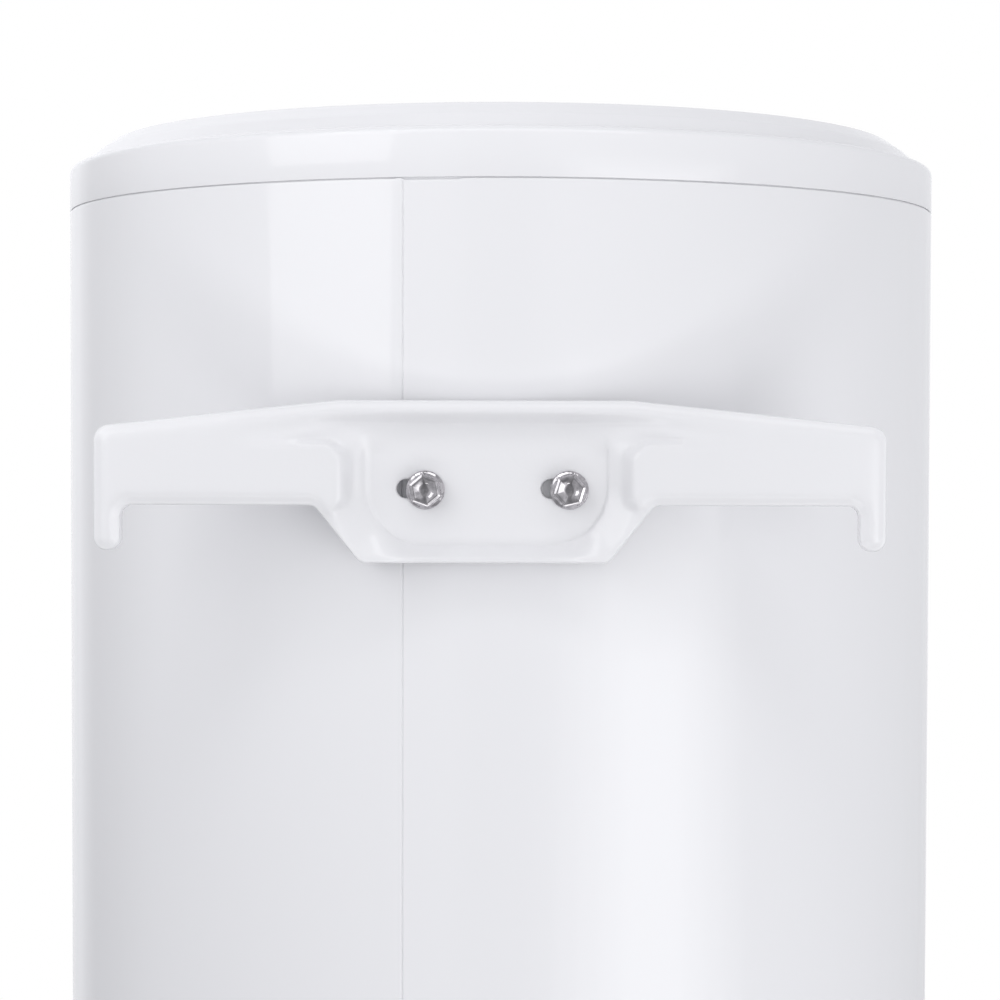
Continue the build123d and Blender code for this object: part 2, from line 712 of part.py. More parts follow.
with BuildPart() as gasket:
    with BuildSketch(level(FLANGE_TOP)):
        Circle(COLLAR_R - 1)
        Circle(COLLAR_BORE, mode=Mode.SUBTRACT)
        with PolarLocations(STUD_PCD / 2, STUD_COUNT, start_angle=STUD_START):
            Circle(M8_R + 0.3, mode=Mode.SUBTRACT)
    extrude(amount=GASKET_H)
gasket.part.label = "flange_gasket"
export_step(gasket.part, "parts/flange_gasket.step")

with BuildPart() as studs:
    with BuildSketch(level(STUD_BOTTOM)):
        with PolarLocations(STUD_PCD / 2, STUD_COUNT, start_angle=STUD_START):
            Circle(M8_R)
    extrude(amount=STUD_TOP - STUD_BOTTOM)
studs.part.label = "flange_studs"
export_step(studs.part, "parts/flange_studs.step")

with BuildPart() as nuts:
    with BuildSketch(level(FLANGE_BOTTOM)):
        with PolarLocations(STUD_PCD / 2, STUD_COUNT, start_angle=STUD_START):
            RegularPolygon(M8_AF / 2, 6, major_radius=False)
            Circle(M8_R + RUNNING, mode=Mode.SUBTRACT)
    extrude(amount=-NUT_H)
nuts.part.label = "flange_nuts"
export_step(nuts.part, "parts/flange_nuts.step")

with BuildPart() as element_flange:
    with BuildSketch(level(FLANGE_BOTTOM)):
        Circle(COLLAR_R - 1)
        with PolarLocations(STUD_PCD / 2, STUD_COUNT, start_angle=STUD_START):
            Circle(M8_R + 0.3, mode=Mode.SUBTRACT)
        with Locations((-ELEMENT_X, ELEMENT_Y), (ELEMENT_X, ELEMENT_Y)):
            Circle(ELEMENT_R + RUNNING, mode=Mode.SUBTRACT)
        with Locations((0, POCKET_Y)):
            Circle(POCKET_R + RUNNING, mode=Mode.SUBTRACT)
        with Locations((0, ANODE_Y)):
            Circle(ANODE_ROD_R + RUNNING, mode=Mode.SUBTRACT)
    extrude(amount=FLANGE_H)
    with BuildSketch(level(FLANGE_BOTTOM)):
        with Locations((EARTH_X, EARTH_Y)):
            Circle(EARTH_R + RUNNING)
    extrude(amount=FLANGE_H - 1, mode=Mode.SUBTRACT)
element_flange.part.label = "element_flange"
export_step(element_flange.part, "parts/element_flange.step")

with BuildPart() as element:
    with BuildLine() as bend:
        up = Line(
            spot(-ELEMENT_X, ELEMENT_Y, ELEMENT_END), spot(-ELEMENT_X, ELEMENT_Y, ELEMENT_TOP)
        )
        over = TangentArc(
            up @ 1, spot(ELEMENT_X, ELEMENT_Y, ELEMENT_TOP), tangent=(0, 0, 1)
        )
        Line(over @ 1, spot(ELEMENT_X, ELEMENT_Y, ELEMENT_END))
    with BuildSketch(Plane(origin=bend.line @ 0, z_dir=bend.line % 0)):
        Circle(ELEMENT_R)
    sweep()
element.part.label = "heating_element"
export_step(element.part, "parts/heating_element.step")

with BuildPart() as bushes:
    with BuildSketch(level(FLANGE_BOTTOM)):
        with Locations((-ELEMENT_X, ELEMENT_Y), (ELEMENT_X, ELEMENT_Y)):
            Circle(BUSH_R)
            Circle(ELEMENT_R + RUNNING, mode=Mode.SUBTRACT)
    extrude(amount=-BUSH_H)
bushes.part.label = "element_bushes"
export_step(bushes.part, "parts/element_bushes.step")

with BuildPart() as anode:
    with BuildSketch(level(ANODE_BOTTOM)):
        with Locations((0, ANODE_Y)):
            Circle(ANODE_R)
    extrude(amount=ANODE_TOP - ANODE_BOTTOM)
    with BuildSketch(level(ANODE_END)):
        with Locations((0, ANODE_Y)):
            Circle(ANODE_ROD_R)
    extrude(amount=ANODE_BOTTOM - ANODE_END)
anode.part.label = "anode_rod"
export_step(anode.part, "parts/anode_rod.step")

with BuildPart() as anode_nut:
    with BuildSketch(level(FLANGE_BOTTOM)):
        with Locations((0, ANODE_Y)):
            RegularPolygon(ANODE_NUT_AF / 2, 6, major_radius=False)
            Circle(ANODE_ROD_R + RUNNING, mode=Mode.SUBTRACT)
    extrude(amount=-ANODE_NUT_H)
anode_nut.part.label = "anode_nut"
export_step(anode_nut.part, "parts/anode_nut.step")

with BuildPart() as pocket:
    with BuildSketch(level(FLANGE_BOTTOM)):
        with Locations((0, POCKET_Y)):
            Circle(POCKET_R)
    extrude(amount=POCKET_TOP - FLANGE_BOTTOM)
    with BuildSketch(level(FLANGE_BOTTOM)):
        with Locations((0, POCKET_Y)):
            Circle(POCKET_BORE)
    extrude(amount=POCKET_TOP - FLANGE_BOTTOM - POCKET_WALL, mode=Mode.SUBTRACT)
pocket.part.label = "thermostat_pocket"
export_step(pocket.part, "parts/thermostat_pocket.step")

with BuildPart() as thermostat:
    with BuildSketch(level(STAT_BOTTOM)):
        with Locations((0, POCKET_Y)):
            RectangleRounded(STAT_W, STAT_D, STAT_CORNER)
    extrude(amount=STAT_H)
    with BuildSketch(level(FLANGE_BOTTOM)):
        with Locations((0, POCKET_Y)):
            Circle(STEM_R)
    extrude(amount=STEM_TOP - FLANGE_BOTTOM)
    with BuildSketch(level(STAT_BOTTOM)):
        with Locations((0, POCKET_Y)):
            Circle(SPINDLE_R + RUNNING)
    extrude(amount=SPINDLE_TOP + 0.5 - STAT_BOTTOM, mode=Mode.SUBTRACT)
    with BuildSketch(level(STAT_BOTTOM)):
        with Locations((BUTTON_X, BUTTON_Y)):
            Circle(BUTTON_R + RUNNING)
    extrude(amount=BUTTON_BORE_TOP - STAT_BOTTOM, mode=Mode.SUBTRACT)
thermostat.part.label = "thermostat_body"
export_step(thermostat.part, "parts/thermostat_body.step")

with BuildPart() as spindle:
    with BuildSketch(level(SPINDLE_BOTTOM)):
        with Locations((0, POCKET_Y)):
            Circle(SPINDLE_R)
    extrude(amount=SPINDLE_TOP - SPINDLE_BOTTOM)
spindle.part.label = "thermostat_spindle"
export_step(spindle.part, "parts/thermostat_spindle.step")

with BuildPart() as button:
    with BuildSketch(level(BUTTON_BOTTOM)):
        with Locations((BUTTON_X, BUTTON_Y)):
            Circle(BUTTON_R)
    extrude(amount=BUTTON_TOP - BUTTON_BOTTOM)
    fillet(button.faces().sort_by(Axis.Z)[0].edges(), BUTTON_ROUND)
button.part.label = "reset_button"
export_step(button.part, "parts/reset_button.step")

with BuildPart() as earth_screw:
    with BuildSketch(level(FLANGE_BOTTOM)):
        with Locations((EARTH_X, EARTH_Y)):
            Circle(EARTH_HEAD_R)
    extrude(amount=-EARTH_HEAD_H)
    with BuildSketch(level(FLANGE_BOTTOM)):
        with Locations((EARTH_X, EARTH_Y)):
            Circle(EARTH_R)
    extrude(amount=FLANGE_H - 1.5)
earth_screw.part.label = "earth_screw"
export_step(earth_screw.part, "parts/earth_screw.step")

# ---------------------------------------------------------------- water pipes
for side, name in ((1, "cold"), (-1, "hot")):
    with BuildPart() as nipple:
        with BuildSketch(level(PIPE_BOTTOM)):
            with Locations((side * PIPE_X, PIPE_Y)):
                Circle(PIPE_R)
                Circle(PIPE_BORE, mode=Mode.SUBTRACT)
        extrude(amount=PIPE_TOP - PIPE_BOTTOM)
        with BuildSketch(level(PIPE_BOTTOM)):
            with Locations((side * PIPE_X, PIPE_Y)):
                Circle(PIPE_R)
                Circle(THREAD_R, mode=Mode.SUBTRACT)
        extrude(amount=THREAD_H, mode=Mode.SUBTRACT)
        chamfer(nipple.edges().group_by(Axis.Z)[0].sort_by(SortBy.LENGTH)[-1], PIPE_CHAMFER)
    nipple.part.label = name + "_nipple"
    export_step(nipple.part, "parts/" + name + "_nipple.step")

    with BuildPart() as ring:
        with BuildSketch(level(FLOOR_Z)):
            with Locations((side * PIPE_X, PIPE_Y)):
                Circle(COLLAR_RING_R)
                Circle(PIPE_R + GAP, mode=Mode.SUBTRACT)
        extrude(amount=-COLLAR_RING_H)
        lower_edge = ring.edges().group_by(Axis.Z)[0].sort_by(SortBy.LENGTH)[-1]
        chamfer(lower_edge, COLLAR_RING_CHAMFER)
    ring.part.label = name + "_ring"
    export_step(ring.part, "parts/" + name + "_ring.step")

with BuildPart() as riser:
    with BuildSketch(level(RISER_BOTTOM)):
        with Locations((-PIPE_X, PIPE_Y)):
            Circle(RISER_R)
            Circle(RISER_BORE, mode=Mode.SUBTRACT)
    extrude(amount=RISER_TOP - RISER_BOTTOM)
riser.part.label = "hot_riser_tube"
export_step(riser.part, "parts/hot_riser_tube.step")

with BuildPart() as diffuser:
    diffuser_h = DIFFUSER_TOP - PIPE_TOP + DIFFUSER_SLEEVE
    with BuildSketch(level(DIFFUSER_TOP - diffuser_h)):
        with Locations((PIPE_X, PIPE_Y)):
            Circle(DIFFUSER_R)
    extrude(amount=diffuser_h)
    with BuildSketch(level(DIFFUSER_TOP - diffuser_h)):
        with Locations((PIPE_X, PIPE_Y)):
            Circle(PIPE_R + RUNNING)
    extrude(amount=diffuser_h - DIFFUSER_WALL, mode=Mode.SUBTRACT)
    with BuildSketch(level(DIFFUSER_TOP)):
        with Locations((PIPE_X, PIPE_Y)):
            Rectangle(DIFFUSER_SLOT_W, 4 * DIFFUSER_R)
            Rectangle(4 * DIFFUSER_R, DIFFUSER_SLOT_W)
    extrude(amount=-DIFFUSER_SLOT_H, mode=Mode.SUBTRACT)
diffuser.part.label = "inlet_diffuser"
export_step(diffuser.part, "parts/inlet_diffuser.step")

# ---------------------------------------------------------------- service cover and controls
with BuildPart() as cover:
    with BuildSketch(level(COVER_Z)):
        with Locations((0, COVER_Y)):
            RectangleRounded(COVER_W, COVER_D, COVER_CORNER)
    extrude(amount=COVER_H)
    fillet(cover.faces().sort_by(Axis.Z)[0].edges(), COVER_ROUND)
    with BuildSketch(level(COVER_Z + COVER_WALL)):
        with Locations((0, COVER_Y)):
            RectangleRounded(COVER_W - 2 * COVER_RIM, COVER_D - 2 * COVER_RIM, COVER_CORNER - COVER_RIM)
    extrude(amount=COVER_H, mode=Mode.SUBTRACT)
    with BuildSketch(level(COVER_Z + COVER_WALL)):
        with Locations((0, COVER_Y)):
            with GridLocations(2 * SCREW_X, 2 * SCREW_Y, 2, 2):
                Circle(COVER_BOSS_R)
    extrude(amount=COVER_H - COVER_WALL)
    with BuildSketch(level(COVER_Z)):
        with Locations((0, COVER_Y)):
            with GridLocations(2 * SCREW_X, 2 * SCREW_Y, 2, 2):
                Circle(SCREW_R + GAP)
        with Locations((0, POCKET_Y)):
            Circle(SPINDLE_R + 2 * GAP)
        with Locations((SWITCH_X, SWITCH_Y)):
            Rectangle(SWITCH_W + 2 * GAP, SWITCH_D + 2 * GAP)
        with Locations(*[(x, LAMP_Y) for x in LAMP_XS.values()]):
            Circle(LAMP_R + RUNNING)
    extrude(amount=COVER_H, mode=Mode.SUBTRACT)
cover.part.label = "service_cover"
export_step(cover.part, "parts/service_cover.step")

with BuildPart() as cover_screws:
    with BuildSketch(level(COVER_Z)):
        with Locations((0, COVER_Y)):
            with GridLocations(2 * SCREW_X, 2 * SCREW_Y, 2, 2):
                Circle(SCREW_HEAD_R)
    extrude(amount=-SCREW_HEAD_H)
    with BuildSketch(level(COVER_Z)):
        with Locations((0, COVER_Y)):
            with GridLocations(2 * SCREW_X, 2 * SCREW_Y, 2, 2):
                Circle(SCREW_R)
    extrude(amount=SCREW_L)
    with BuildSketch(level(COVER_Z - SCREW_HEAD_H)):
        with Locations((0, COVER_Y)):
            with GridLocations(2 * SCREW_X, 2 * SCREW_Y, 2, 2):
                Rectangle(CROSS_L, CROSS_W)
                Rectangle(CROSS_W, CROSS_L)
    extrude(amount=CROSS_H, mode=Mode.SUBTRACT)
cover_screws.part.label = "cover_screws"
export_step(cover_screws.part, "parts/cover_screws.step")

with BuildPart() as knob:
    with BuildSketch(level(KNOB_TOP)):
        with Locations((0, POCKET_Y)):
            Circle(KNOB_R)
    extrude(amount=-KNOB_H, taper=KNOB_TAPER)
    fillet(knob.faces().sort_by(Axis.Z)[0].edges(), KNOB_ROUND)
    with BuildSketch(level(KNOB_TOP)):
        with Locations((0, POCKET_Y)):
            Circle(SPINDLE_R + 0.02)
    extrude(amount=SPINDLE_BOTTOM - KNOB_TOP, mode=Mode.SUBTRACT)
    with BuildSketch(level(KNOB_TOP)):
        with Locations((0, POCKET_Y)):
            with PolarLocations(KNOB_R + GRIP_OUT, GRIP_COUNT):
                Circle(GRIP_R)
    extrude(amount=-KNOB_H, mode=Mode.SUBTRACT)
knob.part.label = "temperature_knob"
export_step(knob.part, "parts/temperature_knob.step")

with BuildPart() as switch_housing:
    with BuildSketch(level(COVER_Z)):
        with Locations((SWITCH_X, SWITCH_Y)):
            RectangleRounded(SWITCH_W + 2 * BEZEL_FRAME, SWITCH_D + 2 * BEZEL_FRAME, 2)
    extrude(amount=-BEZEL_LIP)
    with BuildSketch(level(COVER_Z)):
        with Locations((SWITCH_X, SWITCH_Y)):
            Rectangle(SWITCH_W, SWITCH_D)
    extrude(amount=SWITCH_TOP - COVER_Z)
    with BuildSketch(level(COVER_Z - BEZEL_LIP)):
        with Locations((SWITCH_X, SWITCH_Y)):
            Rectangle(2 * ROCKER_WELL_HALF, ROCKER_WELL_W)
    extrude(amount=ROCKER_WELL_TOP - COVER_Z + BEZEL_LIP, mode=Mode.SUBTRACT)
    pin_plane = Plane(
        origin=spot(SWITCH_X, SWITCH_Y, ROCKER_Z), x_dir=(1, 0, 0), z_dir=(0, -1, 0)
    )
    with BuildSketch(pin_plane):
        Circle(ROCKER_PIN_R + RUNNING)
    extrude(amount=ROCKER_PIN_L / 2 + GAP, both=True, mode=Mode.SUBTRACT)
switch_housing.part.label = "switch_housing"
export_step(switch_housing.part, "parts/switch_housing.step")

with BuildPart() as rocker:
    tilted = pin_plane.rotated((0, ROCKER_TILT, 0))
    with BuildSketch(tilted):
        with BuildLine():
            Polyline(
                (-ROCKER_BACK_HALF, ROCKER_BACK),
                (ROCKER_BACK_HALF, ROCKER_BACK),
                (ROCKER_HALF, 1),
                (ROCKER_HALF, ROCKER_FACE),
                (0, ROCKER_DIP),
                (-ROCKER_HALF, ROCKER_FACE),
                (-ROCKER_HALF, 1),
                close=True,
            )
        make_face()
    extrude(amount=ROCKER_W / 2, both=True)
    with BuildSketch(pin_plane):
        Circle(ROCKER_PIN_R)
    extrude(amount=ROCKER_PIN_L / 2, both=True)
rocker.part.label = "rocker_switch"
export_step(rocker.part, "parts/rocker_switch.step")

for name, x in LAMP_XS.items():
    with BuildPart() as lamp:
        with BuildSketch(level(COVER_Z)):
            with Locations((x, LAMP_Y)):
                Circle(LAMP_R)
        extrude(amount=LAMP_H)
        with BuildSketch(level(COVER_Z)):
            with Locations((x, LAMP_Y)):
                Circle(LAMP_FLANGE_R)
        extrude(amount=-LAMP_FLANGE_H)
        fillet(lamp.faces().sort_by(Axis.Z)[0].edges(), LAMP_ROUND)
    lamp.part.label = name
    export_step(lamp.part, "parts/" + name + ".step")

# ---------------------------------------------------------------- cable entry and wiring
with BuildPart() as gland:
    with BuildSketch(level(FLOOR_Z)):
        with Locations((GLAND_X, GLAND_Y)):
            RegularPolygon(GLAND_AF / 2, 6, major_radius=False)
    extrude(amount=-GLAND_SHOULDER_H)
    with BuildSketch(level(FLOOR_Z - GLAND_SHOULDER_H)):
        with Locations((GLAND_X, GLAND_Y)):
            Circle(GLAND_AF / 2 - 0.4)
    extrude(amount=-GLAND_DOME_H + GLAND_SHOULDER_H, taper=GLAND_TAPER)
    with BuildSketch(level(FLOOR_Z)):
        with Locations((GLAND_X, GLAND_Y)):
            Circle(GLAND_R)
    extrude(amount=GLAND_TOP - FLOOR_Z)
    with BuildSketch(level(GLAND_TOP)):
        with Locations((GLAND_X, GLAND_Y)):
            Circle(GLAND_BORE)
    extrude(amount=-GLAND_DOME_H - (GLAND_TOP - FLOOR_Z), mode=Mode.SUBTRACT)
gland.part.label = "cable_gland"
export_step(gland.part, "parts/cable_gland.step")

with BuildPart() as gland_nut:
    with BuildSketch(level(FLOOR_INSIDE)):
        with Locations((GLAND_X, GLAND_Y)):
            RegularPolygon(GLAND_AF / 2, 6, major_radius=False)
            Circle(GLAND_R + RUNNING, mode=Mode.SUBTRACT)
    extrude(amount=GLAND_NUT_H)
gland_nut.part.label = "gland_nut"
export_step(gland_nut.part, "parts/gland_nut.step")

with BuildPart() as block:
    with BuildSketch(level(FLOOR_INSIDE)):
        with Locations((BLOCK_X, BLOCK_Y)):
            Rectangle(BLOCK_W, BLOCK_D)
    extrude(amount=BLOCK_H)
    with BuildSketch(level(FLOOR_INSIDE + BLOCK_H)):
        with Locations((BLOCK_X, BLOCK_Y)):
            with GridLocations(0, POLE_PITCH, 1, 3):
                Circle(POLE_R)
    extrude(amount=-POLE_H, mode=Mode.SUBTRACT)
block.part.label = "terminal_block"
export_step(block.part, "parts/terminal_block.step")

block_face = BLOCK_X - BLOCK_W / 2
stat_side = STAT_W / 2
stat_front = POCKET_Y - STAT_D / 2
stat_back = POCKET_Y + STAT_D / 2
earth_end = FLANGE_BOTTOM - EARTH_HEAD_H
switch_right = SWITCH_X + SWITCH_W / 2
switch_left = SWITCH_X - SWITCH_W / 2
wire_routes = {
    "line_wire": [
        (block_face, BLOCK_Y - POLE_PITCH, WIRE_Z),
        (switch_right + 12, BLOCK_Y - POLE_PITCH, WIRE_Z),
        (switch_right + 10, SWITCH_Y, WIRE_Z),
        (switch_right, SWITCH_Y, WIRE_Z),
    ],
    "switched_wire": [
        (switch_left, SWITCH_Y, WIRE_Z),
        (10, SWITCH_Y, WIRE_Z),
        (SWITCHED_WIRE_X, SWITCH_Y + 10, WIRE_Z),
        (SWITCHED_WIRE_X, stat_front, WIRE_Z),
    ],
    "neutral_wire": [
        (block_face, BLOCK_Y, WIRE_Z),
        (62, BLOCK_Y, WIRE_Z),
        (44, NEUTRAL_Y, WIRE_Z),
        (stat_side, NEUTRAL_Y, WIRE_Z),
    ],
    "earth_wire": [
        (block_face, BLOCK_Y + POLE_PITCH, WIRE_Z),
        (74, BLOCK_Y + POLE_PITCH, WIRE_Z),
        (56, EARTH_Y, WIRE_Z),
        (EARTH_X, EARTH_Y, WIRE_Z),
        (EARTH_X, EARTH_Y, earth_end),
    ],
    "element_wire_left": [
        (-ELEMENT_WIRE_X, stat_back, WIRE_Z),
        (-ELEMENT_WIRE_X, ELEMENT_Y - 4, WIRE_Z),
        (-ELEMENT_X, ELEMENT_Y, WIRE_Z),
        (-ELEMENT_X, ELEMENT_Y, ELEMENT_END),
    ],
    "element_wire_right": [
        (ELEMENT_WIRE_X, stat_back, WIRE_Z),
        (ELEMENT_WIRE_X, ELEMENT_Y - 4, WIRE_Z),
        (ELEMENT_X, ELEMENT_Y, WIRE_Z),
        (ELEMENT_X, ELEMENT_Y, ELEMENT_END),
    ],
}
for name, route in wire_routes.items():
    bend_r = ELEMENT_WIRE_BEND if name.startswith("element") else WIRE_BEND
    with BuildPart() as wire:
        with BuildLine() as run:
            FilletPolyline(*[spot(*point) for point in route], radius=bend_r)
        with BuildSketch(Plane(origin=run.line @ 0, z_dir=run.line % 0)):
            Circle(WIRE_R)
        sweep()
    wire.part.label = name
    export_step(wire.part, "parts/" + name + ".step")

# ---------------------------------------------------------------- dial thermometer
with BuildPart() as gauge_cup:
    with BuildSketch(front(GAUGE_BACK)):
        Circle(GAUGE_CUP_R)
    extrude(amount=GAUGE_CUP_FRONT - GAUGE_BACK)
    with BuildSketch(front(GAUGE_BACK + GAUGE_WALL)):
        Circle(GAUGE_CUP_R - GAUGE_WALL)
    extrude(amount=GAUGE_CUP_FRONT - GAUGE_BACK, mode=Mode.SUBTRACT)
    with BuildSketch(front(GAUGE_BACK)):
        Circle(GAUGE_CUP_R - GAUGE_WALL)
        Circle(SENSOR_R + RUNNING, mode=Mode.SUBTRACT)
    extrude(amount=GAUGE_WALL)
    with BuildSketch(front(GAUGE_BACK)):
        Circle(SENSOR_R + RUNNING)
    extrude(amount=GAUGE_WALL, mode=Mode.SUBTRACT)
    # A ledge carries the dial.
    with BuildSketch(front(GAUGE_DIAL_BACK - GAUGE_LEDGE_H)):
        Circle(GAUGE_CUP_R - GAUGE_WALL / 2)
        Circle(GAUGE_VIEW_R - GAUGE_LEDGE_H, mode=Mode.SUBTRACT)
    extrude(amount=GAUGE_LEDGE_H)
gauge_cup.part.label = "thermometer_case"
export_step(gauge_cup.part, "parts/thermometer_case.step")

with BuildPart() as gauge_bezel:
    with BuildSketch(front(GAUGE_BEZEL_BACK)):
        Circle(GAUGE_BEZEL_R)
    extrude(amount=GAUGE_BEZEL_FRONT - GAUGE_BEZEL_BACK)
    fillet(gauge_bezel.faces().sort_by(Axis.Y)[0].edges(), GAUGE_BEZEL_ROUND)
    with BuildSketch(front(GAUGE_BEZEL_BACK)):
        Circle(GAUGE_CUP_R + RUNNING)
    extrude(amount=GAUGE_CUP_FRONT + RUNNING - GAUGE_BEZEL_BACK, mode=Mode.SUBTRACT)
    with BuildSketch(front(GAUGE_BEZEL_BACK)):
        Circle(GAUGE_VIEW_R)
    extrude(amount=GAUGE_BEZEL_FRONT - GAUGE_BEZEL_BACK, mode=Mode.SUBTRACT)
    with BuildSketch(level(GAUGE_Z - GAUGE_BEZEL_R - OVERCUT)):
        Circle(CASING_R + GAP / 2)
    extrude(amount=2 * (GAUGE_BEZEL_R + OVERCUT), mode=Mode.SUBTRACT)
gauge_bezel.part.label = "thermometer_bezel"
export_step(gauge_bezel.part, "parts/thermometer_bezel.step")

with BuildPart() as gauge_dial:
    with BuildSketch(front(GAUGE_DIAL_BACK)):
        Circle(GAUGE_CUP_R - GAUGE_WALL - RUNNING)
        Circle(NEEDLE_PIN_R + RUNNING, mode=Mode.SUBTRACT)
    extrude(amount=GAUGE_DIAL_FRONT - GAUGE_DIAL_BACK)
gauge_dial.part.label = "thermometer_dial"
export_step(gauge_dial.part, "parts/thermometer_dial.step")

with BuildPart() as needle:
    with BuildSketch(front(GAUGE_NEEDLE_BACK).rotated((0, NEEDLE_REST, 0))):
        with BuildLine():
            Polyline(
                (NEEDLE_TIP_HALF, NEEDLE_L),
                (NEEDLE_ROOT_HALF, -NEEDLE_TAIL),
                (-NEEDLE_ROOT_HALF, -NEEDLE_TAIL),
                (-NEEDLE_TIP_HALF, NEEDLE_L),
                close=True,
            )
        make_face()
        Circle(NEEDLE_HUB_R)
    extrude(amount=GAUGE_NEEDLE_FRONT - GAUGE_NEEDLE_BACK)
    with BuildSketch(front(GAUGE_NEEDLE_BACK)):
        Circle(NEEDLE_PIN_R)
    extrude(amount=-NEEDLE_PIN_L)
needle.part.label = "thermometer_needle"
export_step(needle.part, "parts/thermometer_needle.step")

with BuildPart() as lens:
    with BuildSketch(front(GAUGE_LENS_BACK)):
        Circle(GAUGE_CUP_R - GAUGE_WALL - RUNNING)
    extrude(amount=GAUGE_LENS_FRONT - GAUGE_LENS_BACK)
lens.part.label = "thermometer_lens"
export_step(lens.part, "parts/thermometer_lens.step")

with BuildPart() as sensor:
    with BuildSketch(front(TANK_R + GAP)):
        Circle(SENSOR_R)
    extrude(amount=GAUGE_BACK + GAUGE_WALL + 2 - TANK_R - GAP)
sensor.part.label = "thermometer_sensor"
export_step(sensor.part, "parts/thermometer_sensor.step")
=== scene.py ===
import json
from math import cos, hypot, pi, radians, sin, tan

import bmesh
import bpy
import numpy as np
from mathutils import Matrix, Vector, noise
from mathutils.geometry import delaunay_2d_cdt


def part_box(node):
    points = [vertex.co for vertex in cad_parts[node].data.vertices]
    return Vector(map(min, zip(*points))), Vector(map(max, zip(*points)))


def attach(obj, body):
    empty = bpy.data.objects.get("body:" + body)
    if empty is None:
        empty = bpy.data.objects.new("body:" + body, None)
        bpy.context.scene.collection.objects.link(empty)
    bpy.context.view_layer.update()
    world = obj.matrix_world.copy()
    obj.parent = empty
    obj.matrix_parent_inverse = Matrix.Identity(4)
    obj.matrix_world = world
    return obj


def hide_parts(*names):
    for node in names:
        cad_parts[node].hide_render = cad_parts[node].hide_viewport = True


# Wall-hung tank water heater. Everything is in metres, in the CAD's frame: +Z up, the front
# faces -Y, the wall is the plane Y = 0. Sizes below are in millimetres where MM says so.
MM = 0.001

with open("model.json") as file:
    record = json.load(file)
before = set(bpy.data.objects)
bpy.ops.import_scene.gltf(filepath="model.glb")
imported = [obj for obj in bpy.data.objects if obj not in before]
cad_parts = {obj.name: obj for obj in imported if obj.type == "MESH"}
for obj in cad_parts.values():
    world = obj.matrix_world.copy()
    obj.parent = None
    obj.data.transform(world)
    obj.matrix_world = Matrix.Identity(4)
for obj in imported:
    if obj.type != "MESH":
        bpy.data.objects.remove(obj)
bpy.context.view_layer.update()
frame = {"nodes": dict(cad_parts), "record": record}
nodes = frame["nodes"]


# ---- places from the frame
casing_lo, casing_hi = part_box("outer_casing")
cap_lo, cap_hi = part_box("top_cap")
floor_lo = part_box("bottom_cap")[0]
bracket_lo, bracket_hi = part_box("wall_bracket")
bolts_lo, bolts_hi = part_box("bracket_bolts")
cover_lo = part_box("service_cover")[0]
knob_lo, knob_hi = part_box("temperature_knob")
dial_lo, dial_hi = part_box("thermometer_dial")

CASING_R = (casing_hi.x - casing_lo.x) / 2
AXIS_Y = casing_lo.y + CASING_R
CASING_TOP = casing_hi.z
CASING_BOTTOM = casing_lo.z
GROOVE = 1.0 * MM
CAP_BASE = CASING_TOP + GROOVE
BRACKET_X = (bracket_lo.x + bracket_hi.x) / 2
PLATE = 2.5 * MM


